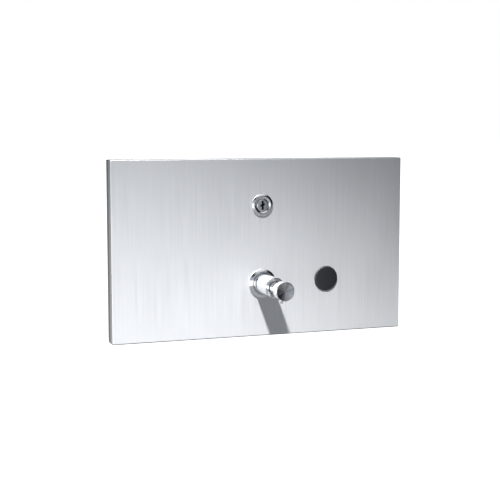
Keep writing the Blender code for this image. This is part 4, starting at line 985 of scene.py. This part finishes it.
class DISPENSER_OT_sheet_parts(bpy.types.Operator):
    """Makes the sheet-metal parts with their bends and broken edges"""

    bl_idname = "dispenser.sheet_parts"
    bl_label = "Sheet parts"

    def execute(self, context):
        sizes = context.scene.dispenser_sizes
        for name, node, body in (
                ("box_leaf", "hinge_box_leaf", "wall_box_body"), ("door_leaf", "hinge_door_leaf", "door"),
                ("arm_left", "stop_arm_left", "door"), ("arm_right", "stop_arm_right", "door"),
                ("strike", "lock_strike", "wall_box_body"), ("cam", "lock_cam", "lock"),
                ("lid", "filler_lid", "lid"), ("cover", "tank_cover", "door"),
                ("box", "wall_box", "wall_box_body"), ("tank", "tank_body", "door")):
            shape = eased(refined(node), sizes.edge_break, 2, 50)
            piece(name, shape, body, "mill_steel", [node])
        return {"FINISHED"}


SMALL_PARTS = (
    ("bumper_l", "bumper_left", "wall_box_body", "rubber"),
    ("bumper_r", "bumper_right", "wall_box_body", "rubber"),
    *[(f"box_rivet_{row}", f"leaf_rivet_{row}", "wall_box_body", "spring_steel") for row in (1, 2, 3)],
    *[(f"catch_rivet_{row}", f"strike_rivet_{row}", "wall_box_body", "spring_steel") for row in (1, 2)],
    *[(f"stop_{side}", f"stop_pin_{side}", "wall_box_body", "spring_steel") for side in ("left", "right")],
    ("hinge_rod", "hinge_pin", "wall_box_body", "spring_steel"),
    ("cover_rod", "lid_pin", "door", "spring_steel"),
    ("head_screw", "cam_screw", "lock", "spring_steel"),
    ("neck_seal", "lid_seal", "lid", "rubber"),
    ("shank_seal", "valve_gasket", "door", "rubber"),
    ("bushing", "guide_bushing", "door", "nylon"),
    ("seat", "inlet_seat", "door", "nylon"),
    ("umbrella", "inlet_valve", "door", "rubber"),
    ("cap", "inlet_cap", "door", "nylon"),
    ("feed_tube", "pickup_tube", "door", "clear_tube"),
    ("slider", "piston", "plunger", "nylon"),
    ("slider_seal", "piston_seal", "plunger", "rubber"),
    ("flap", "outlet_valve", "plunger", "rubber"),
)


class DISPENSER_OT_small_parts(bpy.types.Operator):
    """Makes the pins, rivets, seals and moulded fittings with rounded edges"""

    bl_idname = "dispenser.small_parts"
    bl_label = "Small parts"

    def execute(self, context):
        edge = context.scene.dispenser_sizes.edge_break
        for name, node, body, material in SMALL_PARTS:
            shape = eased(refined(node), edge, 2, 40)
            piece(name, shape, body, material, [node])
        return {"FINISHED"}


class DISPENSER_OT_stage(bpy.types.Operator):
    """Sets up the floor, the lights, the surround and the camera"""

    bl_idname = "dispenser.stage"
    bl_label = "Stage"

    def execute(self, context):
        stage = context.scene.dispenser_stage
        self.make_floor(stage)
        self.make_surround(context.scene, stage)
        self.make_key(stage)
        self.make_fill(stage)
        self.make_camera(context.scene, stage)
        return {"FINISHED"}

    def make_floor(self, stage):
        shape = bmesh.new()
        reach, front = 30.0, -1.3
        bmesh.ops.create_grid(shape, x_segments=8, y_segments=8, size=reach,
                              matrix=Matrix.Translation((0, front + reach, -stage.floor_drop)))
        floor = thing("floor", shape)
        floor.data.materials.append(bpy.data.materials["studio_paper"])

    def place_aimed(self, name, data, place, toward):
        """Puts a lamp or the camera at a place, looking along a direction."""
        obj = bpy.data.objects.new(name, data)
        obj.location = place
        obj.rotation_mode = "QUATERNION"
        obj.rotation_quaternion = toward.to_track_quat("-Z", "Y")
        bpy.context.scene.collection.objects.link(obj)
        return obj

    def make_key(self, stage):
        """A lamp above on the left, aimed low, so that its beam is brighter on the door's lower left.
        It doesn't light the floor or the polished pieces, which would throw it back onto the door."""
        lamp = bpy.data.lights.new("key", "SPOT")
        lamp.spot_size = KEY_BEAM
        lamp.spot_blend = 1.0
        lamp.shadow_soft_size = 0.07
        lamp.energy = stage.key_power
        place = VALVE_AT + KEY_OFFSET
        obj = self.place_aimed("key", lamp, place, Vector((KEY_AIM_X, FACE_Y, KEY_AIM_Z)) - place)
        unlit = bpy.data.collections.new("unlit_by_key")
        for name in UNLIT_BY_KEY:
            unlit.objects.link(bpy.data.objects[name])
        obj.light_linking.receiver_collection = unlit
        for member in unlit.collection_objects:
            member.light_linking.link_state = "EXCLUDE"

    def make_fill(self, stage):
        lamp = bpy.data.lights.new("fill", "AREA")
        lamp.shape = "DISK"
        lamp.size = FILL_SIZE
        lamp.energy = stage.fill_power
        self.place_aimed("fill", lamp, FILL_AT, Vector((0, -0.02, 0)) - FILL_AT)

    def make_surround(self, scene, stage):
        """A studio that is bright overhead, pale in front on the left, and dark behind and in front on
        the right, where the polished faces look. The camera sees it white."""
        world = bpy.data.worlds.new("studio")
        world.use_nodes = True
        scene.world = world
        graph = Graph(world.node_tree)
        toward = graph.spot("Generated")
        right = graph.ranged(graph.part(toward, "X"), 0.2, 0.5)
        height = graph.part(toward, "Z")
        overhead = graph.ranged(height, 0.60, 0.85)
        level = graph.ranged(abs(height), 0.55, 0.30)
        ahead = graph.ranged(graph.part(toward, "Y") * -1, -0.35, 0.0)
        front = graph.mixed(level, (0.074, 0.078, 0.084), SURROUND_FRONT)
        front = graph.mixed(right, front, (0.015, 0.016, 0.017))
        front = graph.mixed(overhead, front, (0.95, 0.97, 1.0))
        colour = graph.mixed(ahead, (0.045, 0.047, 0.05), front)
        seen = graph.node("LightPath", output="Is Camera Ray")
        colour = graph.mixed(seen, colour, WHITE)
        strength = seen * (1.0 - stage.surround) + stage.surround
        light = graph.node("Background", sockets={"Color": colour, "Strength": strength})
        graph.node("OutputWorld", sockets={"Surface": light})

    def make_camera(self, scene, stage):
        data = bpy.data.cameras.new("camera")
        data.sensor_width = 36.0
        data.lens = stage.focal_length
        data.clip_start, data.clip_end = 0.01, 200.0
        flat = math.cos(stage.elevation)
        back = Vector((math.sin(stage.azimuth) * flat, -math.cos(stage.azimuth) * flat,
                       math.sin(stage.elevation)))
        scene.camera = self.place_aimed("camera", data, stage.camera_at, -back)
        scene.view_settings.view_transform = "Standard"


OPERATORS = (
    DISPENSER_OT_finishes, DISPENSER_OT_door_face, DISPENSER_OT_weld_studs, DISPENSER_OT_escutcheon,
    DISPENSER_OT_barrel, DISPENSER_OT_stem, DISPENSER_OT_push_button, DISPENSER_OT_nozzle,
    DISPENSER_OT_return_spring, DISPENSER_OT_lock, DISPENSER_OT_window, DISPENSER_OT_nuts,
    DISPENSER_OT_sheet_parts, DISPENSER_OT_small_parts, DISPENSER_OT_stage)
GROUPS = {"dispenser_sizes": DispenserSizes, "dispenser_finishes": DispenserFinishes,
          "dispenser_stage": DispenserStage}


class DISPENSER_PT_panel(bpy.types.Panel):
    """Lists the sizes, the colours and the pieces"""

    bl_label = "Soap Dispenser"
    bl_idname = "DISPENSER_PT_panel"
    bl_space_type = "VIEW_3D"
    bl_region_type = "UI"
    bl_category = "Dispenser"

    def draw(self, context):
        for group in GROUPS:
            column = self.layout.column(align=True)
            settings = getattr(context.scene, group)
            for name in settings.__annotations__:
                column.prop(settings, name)
        for operator in OPERATORS:
            self.layout.operator(operator.bl_idname)


def register():
    for name, group in GROUPS.items():
        bpy.utils.register_class(group)
        setattr(bpy.types.Scene, name, bpy.props.PointerProperty(type=group))
    for kind in (*OPERATORS, DISPENSER_PT_panel):
        bpy.utils.register_class(kind)


def unregister():
    for kind in reversed((*OPERATORS, DISPENSER_PT_panel)):
        bpy.utils.unregister_class(kind)
    for name, group in GROUPS.items():
        delattr(bpy.types.Scene, name)
        bpy.utils.unregister_class(group)


def main():
    register()
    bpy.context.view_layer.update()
    for operator in OPERATORS:
        family, name = operator.bl_idname.split(".")
        getattr(getattr(bpy.ops, family), name)()


if __name__ == "__main__":
    main()
